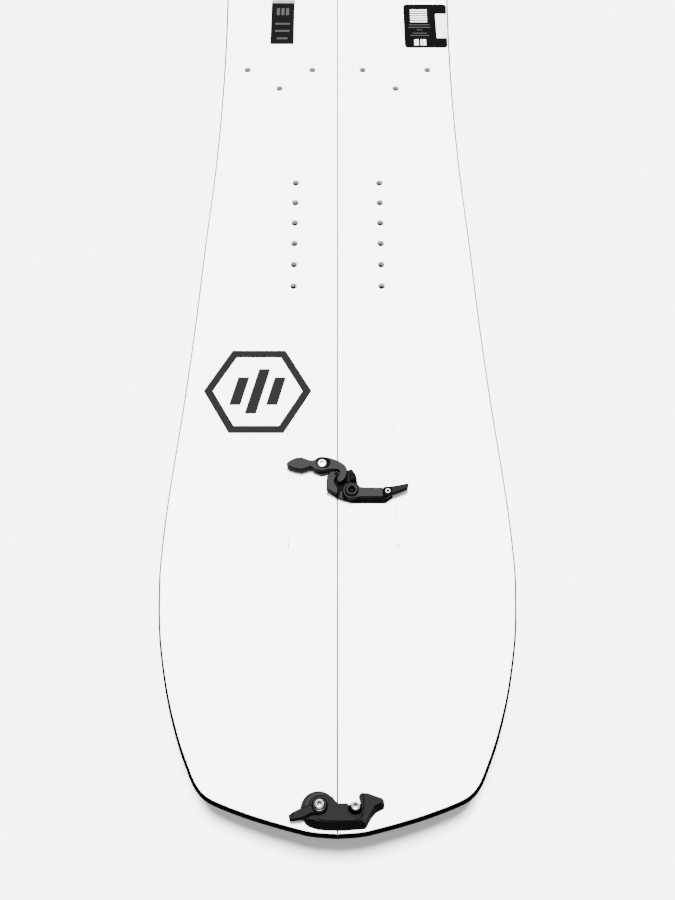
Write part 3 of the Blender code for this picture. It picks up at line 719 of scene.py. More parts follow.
def on_board(x, distance, depth):
    """A point of the board, from its distance to the nose tip and its depth under the top surface."""
    nose_rise, nose_turn = rise_and_slope(distance, NOSE_SLOPE, NOSE_RAMP)
    tail_rise, tail_turn = rise_and_slope(BOARD_LENGTH - distance, TAIL_SLOPE, TAIL_RAMP)
    turn = nose_turn - tail_turn
    y = NOSE_TIP_Y + distance - depth * math.sin(turn)
    z = THICKNESS + nose_rise + tail_rise - depth * math.cos(turn)
    return Vector((x, y, z))


def arc_stations(slope, ramp):
    """Distances from an end's tip at which its arc is cut."""
    run = KICK_RADIUS * math.sin(slope)
    count = round(run / STATION_STEP)
    return [ramp + run * i / count for i in range(count + 1)]


def stations():
    """Distances at which a layer is cut across, so that it can follow the two arcs."""
    tail = arc_stations(TAIL_SLOPE, TAIL_RAMP)
    return arc_stations(NOSE_SLOPE, NOSE_RAMP) + [BOARD_LENGTH - distance for distance in tail]


def bend(shape, side):
    """Turns a flat layer, drawn as (distance from the seam, distance from the nose tip, -depth), into one
    on the board's curved ends."""
    for distance in stations():
        everything = shape.verts[:] + shape.edges[:] + shape.faces[:]
        place = (0, distance, 0)
        bmesh.ops.bisect_plane(shape, geom=everything, dist=1e-7, plane_co=place, plane_no=(0, 1, 0))
    for vert in shape.verts:
        vert.co = on_board(side * vert.co.x, vert.co.y, -vert.co.z)


def smooth(points, i, t):
    """A point between points i and i + 1 of a Catmull-Rom curve."""
    last = len(points) - 1
    p0, p1, p2, p3 = (Vector(points[min(max(i + k, 0), last)]) for k in (-1, 0, 1, 2))
    square = 2 * p0 - 5 * p1 + 4 * p2 - p3
    cube = 3 * p1 - 3 * p2 + p3 - p0
    return 0.5 * (2 * p1 + (p2 - p0) * t + square * t**2 + cube * t**3)


def half_loop():
    """One ski's outline: from the nose tip round its outer side to the tail tip. The seam closes it."""
    spans = range(len(OUTLINE) - 1)
    loop = [smooth(OUTLINE, i, k / OUTLINE_STEPS) for i in spans for k in range(OUTLINE_STEPS)]
    loop.append(Vector(OUTLINE[-1]))
    loop[0].x = SEAM_GAP / 2
    loop[-1].x = SEAM_GAP / 2
    return loop


def outside(width, seam_width):
    """An inset of one width round the board and another along the seam."""
    return lambda normal: seam_width if normal.x < SEAM_NORMAL else width


def leaning(extra_width, seam_width):
    """An inset that follows the sidewall's lean, which is widest along the board's outer sides."""

    def width(normal):
        if normal.x < SEAM_NORMAL:
            return extra_width + seam_width
        return extra_width + END_LEAN + SIDE_LEAN * max(normal.x, 0) ** 2

    return width


def edge_at(distance):
    """Half width of the assembled board at a distance from its nose tip."""
    near = max(i for i in range(len(OUTLINE) - 1) if OUTLINE[i][1] <= distance)
    share = (distance - OUTLINE[near][1]) / (OUTLINE[near + 1][1] - OUTLINE[near][1])
    return smooth(OUTLINE, near, share).x


def pack_places(centre):
    first = centre - INSERT_PITCH * (PACK_ROWS - 1) / 2
    return [(COLUMN_FROM_SEAM, first + INSERT_PITCH * i) for i in range(PACK_ROWS)]


def insert_groups():
    """Places of each group of inserts, as distances from the seam and from the nose tip."""
    half = TOURING_BASE / 2
    touring = [(0, -TOURING_HEIGHT), (half, 0), (-half, 0)]
    return {
        "front_inserts": pack_places(FRONT_PACK),
        "rear_inserts": pack_places(REAR_PACK),
        "touring_inserts": [(TOURING_FROM_SEAM + x, TOURING_PLACE + y) for x, y in touring],
        "heel_inserts": [(TOURING_FROM_SEAM + k * HEEL_SPREAD / 2, HEEL_PLACE) for k in (-1, 1)],
    }


def screw_places(side):
    """Where the clips' screws go through one ski, as (place, radius)."""
    on_left = side < 0
    hook = ARM_BOLT if on_left else LEVER_PIVOT
    from_seam = abs(CLIP_FROM_SEAM + hook[0])
    found = [((from_seam, clip + hook[1]), SCREW_SHANK) for clip in (FRONT_CLIP, REAR_CLIP)]
    nose_up = END_BOLT[1] * math.cos(NOSE_SLOPE)
    tail_up = END_BOLT[1] * math.cos(TAIL_SLOPE)
    found.append(((abs(END_BOLT[0]), nose_up), END_SHANK if on_left else SCREW_SHANK))
    found.append(((abs(END_BOLT[0]), BOARD_LENGTH - tail_up), SCREW_SHANK if on_left else END_SHANK))
    return found


def topsheet(name, side):
    """The white top layer, with rounded borders and chamfered holes."""
    shape = bmesh.new()
    outline = half_loop()
    r = TOPSHEET_ROUND
    profile = [(0, TOPSHEET), *((a * r, b * r) for a, b in TOPSHEET_CURVE), (r + SUPPORT, 0)]
    sides = [ring(shape, inset(outline, leaning(width, SEAM_OPEN)), -depth) for width, depth in profile]
    walls(shape, sides)
    top = [sides[-1]]
    bottom = [sides[0]]
    holes = [(place, INSERT_HOLE) for places in insert_groups().values() for place in places]
    holes += [(place, radius + GAP) for place, radius in screw_places(side)]
    for place, radius in holes:
        wide = radius + HOLE_LIP
        steps = ((wide + SUPPORT, 0), (wide, 0), (radius, HOLE_LIP), (radius, TOPSHEET))
        rings = [ring(shape, circle(place, size), -depth) for size, depth in steps]
        walls(shape, rings)
        top.append(rings[0])
        bottom.append(rings[-1])
    cap(shape, top)
    cap(shape, bottom)
    bend(shape, side)
    stand_in(name + "_topsheet", shape, ["topsheet"])


def band(node, side, profile, inner, finishes):
    """A closed band round one ski: profile is (inset, depth) down its outside, and inner is its inside inset.
    Its outside has the first finish and the rest has the last."""
    shape = bmesh.new()
    outline = half_loop()
    rings = [ring(shape, inset(outline, width), -depth) for width, depth in profile]
    rings += [ring(shape, inset(outline, inner), -profile[i][1]) for i in (-1, 0)]
    count = len(profile)
    walls(shape, rings[:count])
    walls(shape, rings[count - 1 :] + rings[:1], len(finishes) - 1)
    bend(shape, side)
    stand_in(node, shape, finishes)


def sidewall(name, side):
    """The black band. It leans out from the topsheet to the steel edge."""
    profile = (
        (leaning(0, -SEAM_REACH), TOPSHEET),
        (outside(SIDEWALL_STEP + SLANT_EASE_WIDTH, -SEAM_REACH), SIDEWALL_SLANT),
        (outside(SIDEWALL_STEP, -SEAM_REACH), SIDEWALL_SLANT + SLANT_EASE),
        (outside(SIDEWALL_STEP, -SEAM_REACH), SIDEWALL_BOTTOM),
    )
    band(name + "_sidewall", side, profile, SIDEWALL_WIDTH, ["sidewall"])


def edge(name, side):
    """The steel edge. Its outer side and the strip just under the sidewall are near black, as painted shade.
    """
    eased = outside(EDGE_ROUND, EDGE_ROUND - SEAM_REACH)
    full = outside(0, -SEAM_REACH)
    profile = (
        (outside(EDGE_COVERED, EDGE_COVERED), SIDEWALL_BOTTOM),
        (eased, SIDEWALL_BOTTOM),
        (full, SIDEWALL_BOTTOM + EDGE_ROUND),
        (full, THICKNESS - EDGE_ROUND),
        (eased, THICKNESS),
    )
    band(name + "_edge", side, profile, EDGE_WIDTH, ["edge_side", "edge"])


def base(name, side):
    shape = bmesh.new()
    outline = half_loop()
    rings = [ring(shape, inset(outline, EDGE_WIDTH), -depth) for depth in (BASE_TOP, THICKNESS)]
    walls(shape, rings)
    cap(shape, [rings[0]])
    cap(shape, [rings[1]])
    bend(shape, side)
    stand_in(name + "_base", shape, ["base"])


def strip_outline(places):
    """A rounded strip round a row of inserts, or a rounded triangle round three."""
    xs = [x for x, y in places]
    ys = [y for x, y in places]
    low_x, high_x = min(xs) - STRIP_MARGIN, max(xs) + STRIP_MARGIN
    low_y, high_y = min(ys) - STRIP_MARGIN, max(ys) + STRIP_MARGIN
    if len(places) != 3:
        return rounded(box_outline(low_x, high_x, low_y, high_y), STRIP_MARGIN / 2)
    tip = places[0][0]
    shoulder = high_y - 2 * STRIP_MARGIN
    corners = (
        (tip - STRIP_MARGIN, low_y),
        (tip + STRIP_MARGIN, low_y),
        (high_x, shoulder),
        (high_x, high_y),
        (low_x, high_y),
        (low_x, shoulder),
    )
    return rounded(corners, STRIP_MARGIN / 2)


def threaded_insert(shape, centre):
    """A flanged steel insert whose bore has thread crests all the way down."""
    top = THICKNESS - INSERT_TOP
    low = THICKNESS - STRIP_TOP
    skin = ((INSERT_RADIUS, low), (INSERT_RADIUS, top - INSERT_LIP), (INSERT_RADIUS - INSERT_LIP, top))
    rings = [ring(shape, circle(centre, radius), height) for radius, height in skin]
    bores = [(THREAD_ROOT, top), (THREAD_CREST, top - THREAD_PITCH / 2)]
    for turn in range(THREAD_TURNS):
        level = top - THREAD_PITCH * (turn + 1)
        bores += [(THREAD_ROOT, level), (THREAD_CREST, level - THREAD_PITCH / 2)]
    rings += [ring(shape, circle(centre, radius), height) for radius, height in bores]
    walls(shape, rings)
    cap(shape, [rings[0]])
    cap(shape, [rings[-1]])


def inserts(name, side):
    for group, places in insert_groups().items():
        here = [(side * x, NOSE_TIP_Y + distance) for x, distance in places]
        shape = bmesh.new()
        for centre in here:
            threaded_insert(shape, centre)
        strip = ((0, THICKNESS - STRIP_BOTTOM), (0, THICKNESS - STRIP_TOP))
        solid(shape, strip_outline(here), strip)
        stand_in(name + "_" + group, shape, ["stainless"])


def ski(name, side):
    topsheet(name, side)
    sidewall(name, side)
    edge(name, side)
    base(name, side)
    inserts(name, side)
    core = frame["nodes"][name + "_core"]
    core.data.materials.clear()
    core.data.materials.append(FINISHES["core"])


# Print and labels, on the flat part of the topsheet.


def printed(shape, outline, low=0.0, high=PRINT, slot=0):
    """A thin layer on the topsheet, drawn from the seam and the nose tip."""
    moved = anticlockwise((x, NOSE_TIP_Y + distance) for x, distance in outline)
    start = len(shape.faces)
    solid(shape, moved, ((0, THICKNESS + low), (0, THICKNESS + high)), top_slot=slot)
    shape.faces.ensure_lookup_table()
    for face in shape.faces[start:]:
        face.material_index = slot


def emblem():
    """A generic mark: a hexagonal band round three slanted bars."""
    shape = bmesh.new()
    x, distance = EMBLEM_PLACE
    outer = circle((x, NOSE_TIP_Y + distance), EMBLEM_RADIUS, 6)
    inner = circle((x, NOSE_TIP_Y + distance), EMBLEM_RADIUS - EMBLEM_BAND, 6)
    hole = ([(inner, THICKNESS + PRINT), (inner, THICKNESS)], False)
    solid(shape, outer, ((0, THICKNESS), (0, THICKNESS + PRINT)), [hole])
    for place, reach in EMBLEM_BARS:
        left, right = x + place - EMBLEM_BAR_HALF, x + place + EMBLEM_BAR_HALF
        lean = EMBLEM_LEAN * reach / EMBLEM_REACH
        near, far = distance - reach, distance + reach
        corners = ((left - lean, near), (right - lean, near), (right + lean, far), (left + lean, far))
        printed(shape, corners)
    extra("left_emblem_print", shape, ["ink"], "left_topsheet")


def creases():
    """Faint raised lines under the topsheet's skin, one on each side of the front hook clip, a little darker
    than the topsheet as painted shade.
    """
    for name, (x, start, end) in zip(("left", "right"), CREASES):
        shape = bmesh.new()
        grid = []
        for share, fade in CREASE_ALONG:
            y = NOSE_TIP_Y + start + (end - start) * share
            grid.append([
                shape.verts.new((x + k * CREASE_WIDTH / 2, y, THICKNESS + CREASE_HIGH * rise * fade))
                for k, rise in CREASE_ACROSS
            ])
        for near, far in zip(grid, grid[1:]):
            for i in range(len(CREASE_ACROSS) - 1):
                shape.faces.new((near[i], near[i + 1], far[i + 1], far[i]))
        extra(name + "_topsheet_crease_shade", shape, ["crease"], name + "_topsheet")


def text_line(shape, x0, x1, distance, height, slot):
    """A plain bar that stands for a line of print."""
    outline = box_outline(x0, x1, distance - height / 2, distance + height / 2)
    printed(shape, outline, LABEL_HIGH, LABEL_HIGH + PRINT, slot)


def left_label():
    """A dark woven label with a silver end, a few grey bars and three blocks."""
    x0, x1, near, far = LEFT_LABEL
    middle = (x0 + x1) / 2
    shape = bmesh.new()
    printed(shape, box_outline(x0, x1, near, far), 0, LABEL_HIGH)
    silver = box_outline(x0 + SILVER_SHIFT, x1 + SILVER_SHIFT, far, far + SILVER_LENGTH)
    printed(shape, silver, 0, LABEL_HIGH, 1)
    for place, half in LEFT_BARS:
        text_line(shape, middle - half, middle + half, near + place, LEFT_BAR_HEIGHT, 2)
    for k in (-1, 0, 1):
        centre = middle + k * BLOCK_PITCH
        text_line(shape, centre - BLOCK_HALF, centre + BLOCK_HALF, near + BLOCK_PLACE, BLOCK_HEIGHT, 2)
    stand_in("left_label", shape, ["woven", "silver", "grey_ink"])


def to_outer_side(inner, ends):
    """Corners of a patch from two inner places to the topsheet's outer border, between two distances."""
    near, far = ends
    rim = SIDE_LEAN + END_LEAN + 2 * TOPSHEET_ROUND
    return ((inner[0], near), (edge_at(near) - rim, near), (edge_at(far) - rim, far), (inner[1], far))


def right_label():
    """A black label with rounded corners, plain bars, a hatched square and a blank white field."""
    inner, near, far = RIGHT_LABEL
    shape = bmesh.new()
    label = to_outer_side((inner + RIGHT_LABEL_SKEW, inner), (near, far))
    printed(shape, rounded(label, LABEL_CORNER), 0, LABEL_HIGH)
    field = to_outer_side(FIELD_INNER, FIELD_ENDS)
    printed(shape, rounded(field, FIELD_CORNER), LABEL_HIGH, LABEL_HIGH + PRINT, 1)
    for k in range(HATCH_ROWS):
        text_line(shape, *HATCH_SIDES, HATCH_START + HATCH_PITCH * k, HATCH_HEIGHT, 1)
    for distance, half in RIGHT_BARS:
        low, high = RIGHT_BARS_MIDDLE - half, RIGHT_BARS_MIDDLE + half
        text_line(shape, low, high, distance, RIGHT_BAR_HEIGHT, 2)
    for x, half in TICKS:
        text_line(shape, x - half, x + half, TICK_PLACE, TICK_HEIGHT, 1)
    stand_in("right_label", shape, ["label", "white_ink", "grey_ink"])


# Hook clips.


def hook_arm(name, place):
    """The left hook's upper ply, with its thumb tab and the pocket for its bolt."""
    outline = rounded(ARM_HOOK + ARM_TAB)
    pocket = slot_outline(ARM_BOLT, POCKET_RADIUS, POCKET_LENGTH)
    pocket_levels = ((inset(pocket, -GAP), TOP_HIGH), (pocket, TOP_HIGH - GAP), (pocket, POCKET_FLOOR))
    bolt_hole = circle(ARM_BOLT, ARM_BUSH_RADIUS + GAP)
    shape = bmesh.new()
    sides = [ring(shape, inset(outline, width), height) for width, height in chamfered(TOP_LOW, TOP_HIGH)]
    walls(shape, sides)
    pocket_rings = [ring(shape, loop, height) for loop, height in pocket_levels]
    walls(shape, pocket_rings)
    hole = [ring(shape, bolt_hole, height) for height in (POCKET_FLOOR, TOP_LOW)]
    walls(shape, hole)
    cap(shape, [pocket_rings[-1], hole[0]])
    cap(shape, [sides[0], hole[-1]])
    cap(shape, [sides[-1], pocket_rings[0]], 1)
    stand_in(name + "_hook_arm", shape, ["black", "anodised"], place)


def arm_underplate(name, place):
    """The arm's lower ply, round its bolt and under its tab."""
    boss = arc(ARM_BOLT, ARM_UNDER_RADIUS, -ARM_UNDER_TURN, ARM_UNDER_TURN, 12)
    hole = bore(ARM_BOLT, ARM_BUSH_RADIUS + GAP, LINK_HIGH, GAP)
    shape = bmesh.new()
    # Its walls take the grey finish too: painted light on walls that face the light.
    solid(shape, rounded(boss + list(ARM_TAB[1:-1])), chamfered(GAP, LINK_HIGH), [hole])
    stand_in(name + "_arm_underplate", shape, ["anodised"], place)


def arm_bolt(name, place):
    """The arm's bush, and the bright bolt through it."""
    shape = bmesh.new()
    tube(shape, ARM_BOLT, SCREW_SHANK + GAP, ((ARM_BUSH_RADIUS, GAP), (ARM_BUSH_RADIUS, POCKET_FLOOR)))
    stand_in(name + "_arm_bush", shape, ["stainless"], place)
    shape = bmesh.new()
    head = [(ARM_HEAD_RADIUS, POCKET_FLOOR + GAP), *turned(ARM_HEAD_RADIUS, TOP_HIGH, ARM_HEAD)]
    socket = circle(ARM_BOLT, ARM_SOCKET_RADIUS, 6)
    screw(shape, ARM_BOLT, SCREW_SHANK, head, socket, ARM_SOCKET_DEPTH)
    stand_in(name + "_arm_bolt", shape, ["chrome", "black"], place)


def draw_hook(name, place):
    """The hook and link that the lever draws across the seam."""
    shape = bmesh.new()
    solid(shape, rounded(DRAW_HOOK, 0.0012), chamfered(TOP_LOW, TOP_HIGH), top_slot=1)
    stand_in(name + "_draw_hook", shape, ["black", "anodised"], place)
    shape = bmesh.new()
    slot = slot_outline(LEVER_PIVOT, PIVOT_BUSH_RADIUS + GAP, DRAW_TRAVEL + GAP)
    slotted = [([(slot, LINK_HIGH), (slot, LINK_LOW)], False)]
    solid(shape, rounded(DRAW_LINK), chamfered(LINK_LOW, LINK_HIGH, 2 * GAP), slotted)
    stand_in(name + "_draw_link", shape, ["black"], place)
    shape = bmesh.new()
    # Grey patch on the link's top: partly a raised web, partly a painted highlight.
    solid(shape, rounded(LINK_WEB_HIGHLIGHT, 0.0006), ((0, LINK_HIGH - GAP), (0, LINK_HIGH + PRINT)))
    extra(name + "_draw_link_web_highlight", shape, ["anodised"], name + "_draw_link", place)


def clip_base(name, place):
    """The plate under the lever, its rail and its ribbed guide."""
    shape = bmesh.new()
    hole = bore(LEVER_PIVOT, PIVOT_BUSH_RADIUS + GAP, BASE_HIGH, GAP)
    solid(shape, rounded(CLIP_BASE), chamfered(GAP, BASE_HIGH), [hole])
    solid(shape, rounded(RAIL, 0.0005), ((0, BASE_HIGH - GAP), (0, LINK_HIGH - GAP)), top_slot=1)
    stand_in(name + "_clip_base", shape, ["black", "anodised"], place)
    shape = bmesh.new()
    solid(shape, rounded(RIB_GUIDE), chamfered(LINK_LOW, RIB_FLOOR, GAP))
    solid(shape, rounded(LOW_RIB, 0.0004), chamfered(RIB_FLOOR - GAP, LINK_HIGH, GAP), top_slot=1)
    solid(shape, rounded(RIB_BLOCK, 0.0008), chamfered(RIB_FLOOR - GAP, RIB_HIGH - RIB_RISE))
    for rib in TALL_RIBS:
        levels = chamfered(RIB_HIGH - RIB_RISE - GAP, RIB_HIGH, GAP / 2)
        solid(shape, rounded(rib, 0.0005), levels, top_slot=1)
    stand_in(name + "_rib_guide", shape, ["black", "rib"], place)


def lever_arm(name, place):
    """The lever's bar and hub, with a ring round the screw's head."""
    shape = bmesh.new()
    hub = arc(LEVER_PIVOT, HUB_RADIUS, -90, -270, 16)
    hole = bore(LEVER_PIVOT, PIVOT_BUSH_RADIUS + GAP, TOP_HIGH, TOP_LOW)
    solid(shape, rounded(list(LEVER_BAR) + hub, 0.0008), chamfered(TOP_LOW, TOP_HIGH), [hole], top_slot=1)
    stand_in(name + "_lever_arm", shape, ["black", "anodised"], place)
    shape = bmesh.new()
    profile = (
        (HUB_RING_RADIUS, TOP_HIGH - GAP),
        (HUB_RING_RADIUS, HUB_RING_HIGH - HUB_RING_ROUND),
        (HUB_RING_RADIUS - HUB_RING_ROUND, HUB_RING_HIGH),
        (HUB_RING_CUPPED, HUB_RING_HIGH),
    )
    tube(shape, LEVER_PIVOT, HUB_RING_INNER, profile)
    extra(name + "_lever_hub_ring", shape, ["black"], name + "_lever_arm", place)


def lever_tip(name, place):
    """The lever's moulded tip, with a raised pad, a tang back to the bar and a small ring for a mark."""
    shape = bmesh.new()
    solid(shape, rounded(LEVER_TIP, 0.0010), chamfered(TOP_LOW, TOP_HIGH, 2 * CHAMFER), top_slot=1)
    solid(shape, rounded(TIP_PAD, 0.0009), chamfered(TOP_HIGH - GAP, TIP_PAD_HIGH, TIP_PAD_CHAMFER))
    stand_in(name + "_lever_tip", shape, ["black", "grip"], place)
    shape = bmesh.new()
    solid(shape, box_outline(*TANG), ((0, TOP_LOW + CHAMFER), (0, TOP_HIGH - 2 * CHAMFER)))
    extra(name + "_lever_tang", shape, ["black"], name + "_lever_tip", place)
    shape = bmesh.new()
    mark = ((TIP_MARK_RADIUS, TIP_PAD_HIGH), (TIP_MARK_RADIUS, TIP_PAD_HIGH + PRINT))
    tube(shape, TIP_MARK, TIP_MARK_HOLE * TIP_MARK_RADIUS, mark)
    extra(name + "_lever_tip_mark", shape, ["white_ink"], name + "_lever_tip", place)


def lever_pivot(name, place):
    """The lever's bush, and the black star screw through it with its worn rim."""
    shape = bmesh.new()
    bush = ((PIVOT_BUSH_RADIUS, GAP), (PIVOT_BUSH_RADIUS, TOP_HIGH + GAP))
    tube(shape, LEVER_PIVOT, SCREW_SHANK + GAP, bush)
    stand_in(name + "_pivot_bush", shape, ["stainless"], place)
    shape = bmesh.new()
    r, top = PIVOT_HEAD_RADIUS, PIVOT_HEAD_HIGH
    head = [(r, TOP_HIGH + 2 * GAP), *turned(r, top, PIVOT_HEAD)]
    socket = lobed(LEVER_PIVOT, PIVOT_SOCKET_RADIUS, PIVOT_SOCKET_LOBE)
    screw(shape, LEVER_PIVOT, SCREW_SHANK, head, socket, PIVOT_SOCKET_DEPTH)
    stand_in(name + "_pivot_screw", shape, ["oxide", "black"], place)
    shape = bmesh.new()
    tube(shape, LEVER_PIVOT, r - PIVOT_RIM_WIDTH, turned(r, top, PIVOT_RIM))
    extra(name + "_pivot_screw_rim", shape, ["rim"], name + "_pivot_screw", place)


def hook_clip(name, distance):
    place = Matrix.Translation(on_board(CLIP_FROM_SEAM, distance, 0))
    for piece in (hook_arm, arm_underplate, arm_bolt, draw_hook, clip_base):
        piece(name, place)
    for piece in (lever_arm, lever_tip, lever_pivot):
        piece(name, place)


# End clips.


def end_plate_outline():
    """The end clip's plate. The right wall of its notch is an arc about the pivot."""
    boss = arc(END_BOSS_PLACE, END_BOSS_RADIUS, BOSS_START, BOSS_END, 30)
    notch = arc(END_POST, POST_NOTCH_RADIUS, NOTCH_START, NOTCH_END, 20)
    wall_radius = END_POST[0] - END_BOLT[0] + POST_RADIUS + POST_SWING_CLEARANCE
    notch_wall = arc(END_BOLT, wall_radius, 0, NOTCH_WALL_TOP, 6)
    return boss + [Vector(p) for p in END_STEPS] + notch + notch_wall + [Vector(p) for p in END_TAB]


def sloping(flat, nose):
    """An inset that grows from flat to nose as a side turns towards the board's tip."""
    return lambda normal: flat + (nose - flat) * max(-normal.y, 0) ** 2


def end_plate(name, place):
    """The moulded hook plate, with its wide chamfer towards the board's tip and a ring round its boss."""
    shape = bmesh.new()
    hole = bore(END_BOLT, END_SHANK + GAP, END_PLATE_HIGH, GAP)
    levels = (
        (BOTTOM_CHAMFER, GAP),
        (0, 2 * GAP),
        (sloping(0, NOSE_FLARE), END_WALL_HIGH),
        (sloping(END_CHAMFER, NOSE_CHAMFER), END_PLATE_HIGH),
    )
    solid(shape, rounded(end_plate_outline(), END_CORNER, 3), levels, [hole], top_slot=1)
    low = END_PLATE_HIGH - GAP
    # The raised ridge round the boss takes the grey finish on its top: a painted highlight along the ring.
    ridge_middle = (END_BOLT[0] + RIDGE_SHIFT, END_BOLT[1] - RIDGE_SHIFT)
    ridge = arc(END_BOLT, RIDGE_OUTER, RIDGE_END, RIDGE_START, 24)
    ridge += arc(ridge_middle, RIDGE_INNER, RIDGE_START, RIDGE_END, 24)
    ridge_levels = ((0, low), (0, END_PLATE_HIGH), (GAP / 2, END_PLATE_HIGH + RIDGE_HIGH))
    solid(shape, anticlockwise(ridge), ridge_levels, top_slot=2)
    rim = arc(END_POST, POST_NOTCH_RADIUS + RIM_WIDTH, RIM_START, RIM_END, 24)
    rim += arc(END_POST, POST_NOTCH_RADIUS + GAP, RIM_END, RIM_START, 24)
    solid(shape, anticlockwise(rim), ((0, low), (GAP / 2, END_PLATE_HIGH + GAP)), top_slot=1)
    plate_finishes = ["wall", "moulded", "anodised"]
    stand_in(name + "_hook_plate", shape, plate_finishes, place)


def plate_groove_shade(name, place):
    """A flat black strip along the groove that follows the plate's lower side and its tab: painted shade in
    the groove.
    """
    pairs = zip(GROOVE, GROOVE_SIDE)
    far_side = [(x - GROOVE_WIDTH * a, y + GROOVE_WIDTH * b) for (x, y), (a, b) in pairs]
    shape = bmesh.new()
    line = anticlockwise([*GROOVE, *far_side[::-1]])
    solid(shape, line, ((0, END_PLATE_HIGH - PRINT), (0, END_PLATE_HIGH + PRINT)))
    extra(name + "_hook_plate_groove", shape, ["black"], name + "_hook_plate", place)


def beak(name, place):
    """The lock lever: a faceted beak with a blocky end, on a round hub."""
    shape = bmesh.new()
    levels = (
        (BOTTOM_CHAMFER, BEAK_LOW),
        (0, BEAK_LOW + BOTTOM_CHAMFER),
        (0, BEAK_HIGH - BEAK_FACET),
        (BEAK_CHAMFER, BEAK_HIGH),
    )
    hole = bore(END_BOLT, END_SHANK + GAP, BEAK_HIGH, BEAK_LOW)
    solid(shape, rounded(BEAK, END_CORNER), levels, [hole], top_slot=1)
    # Painted shade in the beak's notch, as a black strip.
    solid(shape, anticlockwise(BEAK_NOTCH_SHADE), ((0, BEAK_HIGH - PRINT), (0, BEAK_HIGH + PRINT)))
    stand_in(name + "_beak_lever", shape, ["wall", "moulded"], place)
    shape = bmesh.new()
    hub = (
        (HUB_OUTER, BEAK_LOW + GAP),
        (HUB_OUTER, BEAK_HIGH),
        (HUB_OUTER - HUB_BEVEL, BEAK_HIGH + GAP),
    )
    tube(shape, END_BOLT, END_SHANK + GAP, hub)
    extra(name + "_beak_hub", shape, ["black"], name + "_beak_lever", place)


def flange_washer(name, place):
    """The cup washer over the lock lever: its black body is painted dark reflection of the polished cup, and
    its rim ring keeps a polished finish.
    """
    r = WASHER_RADIUS
    low = BEAK_HIGH + GAP
    profile = [
        (r - BOTTOM_CHAMFER, low),
        (r, low + BOTTOM_CHAMFER),
        *turned(r, WASHER_HIGH, WASHER_CUP),
        (END_HEAD_RADIUS, low + BOTTOM_CHAMFER),
    ]
    shape = bmesh.new()
    tube(shape, END_BOLT, END_SHANK + GAP, profile)
    # Black body: painted dark reflection on the polished cup.
    stand_in(name + "_flange_washer", shape, ["oxide"], place)
    shape = bmesh.new()
    tube(shape, END_BOLT, r - WASHER_RIM_WIDTH, turned(r, WASHER_HIGH, WASHER_RIM))
    extra(name + "_flange_washer_rim", shape, ["cup"], name + "_flange_washer", place)


def end_bolt(name, place, centre, shank, under, top):
    """A bright hexagon socket screw, whose head goes from under to top."""
    shape = bmesh.new()
    head = [(END_HEAD_RADIUS, under), *turned(END_HEAD_RADIUS, top, END_HEAD)]
    screw(shape, centre, shank, head, circle(centre, END_SOCKET_RADIUS, 6), END_SOCKET_DEPTH)
    stand_in(name, shape, ["chrome", "black"], place)


def post(name, place):
    """The collar that the plate hooks round, and a thin black disc under it that paints the shade in the gap
    round the collar.
    """
    shape = bmesh.new()
    r = POST_RADIUS
    profile = ((r, GAP), (r, POST_HIGH - POST_ROUND), (r - POST_ROUND, POST_HIGH))
    tube(shape, END_POST, SCREW_SHANK + GAP, profile)
    stand_in(name + "_post_collar", shape, ["oxide"], place)
    shape = bmesh.new()
    tube(shape, END_POST, r - GAP, ((POST_SHADE_PAD_RADIUS, 0), (POST_SHADE_PAD_RADIUS, POST_SHADE_PAD_HIGH)))
    extra(name + "_post_shade_pad", shape, ["black"], name + "_post_collar", place)


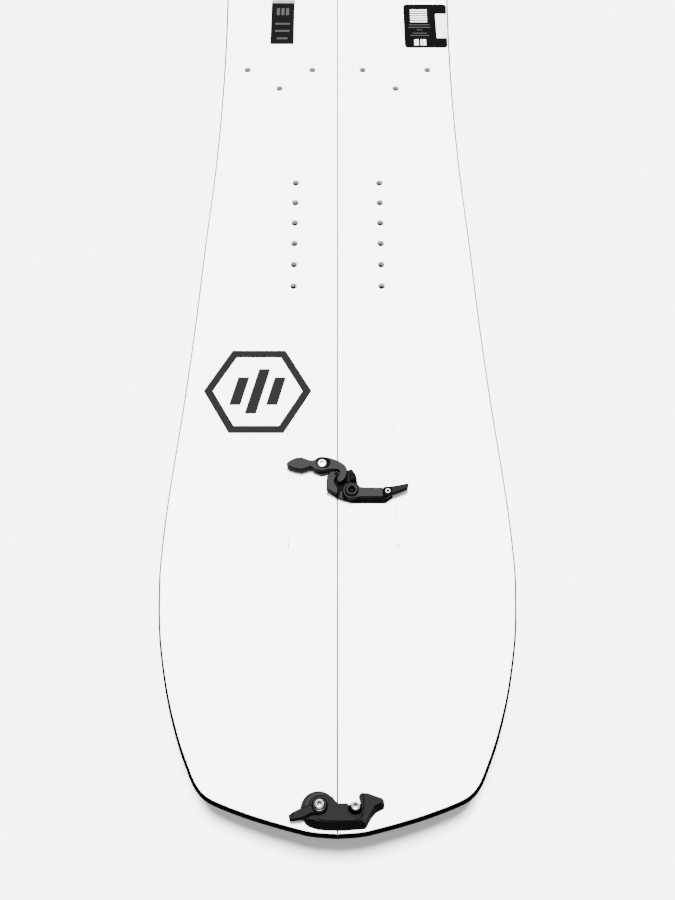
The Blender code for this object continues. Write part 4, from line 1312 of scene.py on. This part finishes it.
def end_clip(name, distance, turn):
    place = Matrix.Translation(on_board(0, distance, 0)) @ turn
    end_plate(name, place)
    plate_groove_shade(name, place)
    beak(name, place)
    flange_washer(name, place)
    under = WASHER_HIGH + GAP
    end_bolt(name + "_pivot_bolt", place, END_BOLT, END_SHANK, under, END_HEAD_HIGH)
    under = POST_HIGH + GAP
    end_bolt(name + "_post_bolt", place, END_POST, SCREW_SHANK, under, POST_HEAD_HIGH)
    post(name, place)


# Stage.


def key_light():
    light = bpy.data.lights.new("key", "SUN")
    light.energy = SUN_STRENGTH
    light.angle = SUN_SPREAD
    made = bpy.data.objects.new("key", light)
    towards = Vector((0, math.cos(SUN_ELEVATION), math.sin(SUN_ELEVATION)))
    made.rotation_mode = "QUATERNION"
    made.rotation_quaternion = towards.to_track_quat("Z", "Y")
    bpy.context.scene.collection.objects.link(made)


def stage():
    shape = bmesh.new()
    bmesh.ops.create_grid(shape, x_segments=1, y_segments=1, size=FLOOR_SIZE / 2)
    paper = matt("studio_paper", 0.80, 0.805, (0.9, 1.0), 0.0)
    floor = mesh_object("studio_floor", shape, [paper])
    floor.location.z = -FLOOR_DROP
    world = bpy.data.worlds.new("studio")
    world.use_nodes = True
    sky = world.node_tree.nodes["Background"]
    sky.inputs["Color"].default_value = (1, 1, 1, 1)
    sky.inputs["Strength"].default_value = SKY_STRENGTH
    bpy.context.scene.world = world
    key_light()


def camera():
    lens = bpy.data.cameras.new("camera")
    lens.sensor_fit = "VERTICAL"
    lens.sensor_height = SENSOR
    lens.lens = CAMERA_LENS
    lens.clip_start = CLIP_START
    made = bpy.data.objects.new("camera", lens)
    made.location = CAMERA_PLACE
    made.rotation_euler = (math.pi / 2 - CAMERA_TILT, 0, 0)
    bpy.context.scene.collection.objects.link(made)
    bpy.context.scene.camera = made


def build():
    ski("left", -1)
    ski("right", 1)
    emblem()
    creases()
    left_label()
    right_label()
    hook_clip("front", FRONT_CLIP)
    hook_clip("rear", REAR_CLIP)
    end_clip("nose", 0, Matrix.Rotation(-NOSE_SLOPE, 4, "X"))
    half_turn = Matrix.Rotation(math.pi, 4, "Z")
    end_clip("tail", BOARD_LENGTH, half_turn @ Matrix.Rotation(-TAIL_SLOPE, 4, "X"))


FINISHES = board_finishes() | clip_finishes() | print_finishes()
build()
stage()
camera()
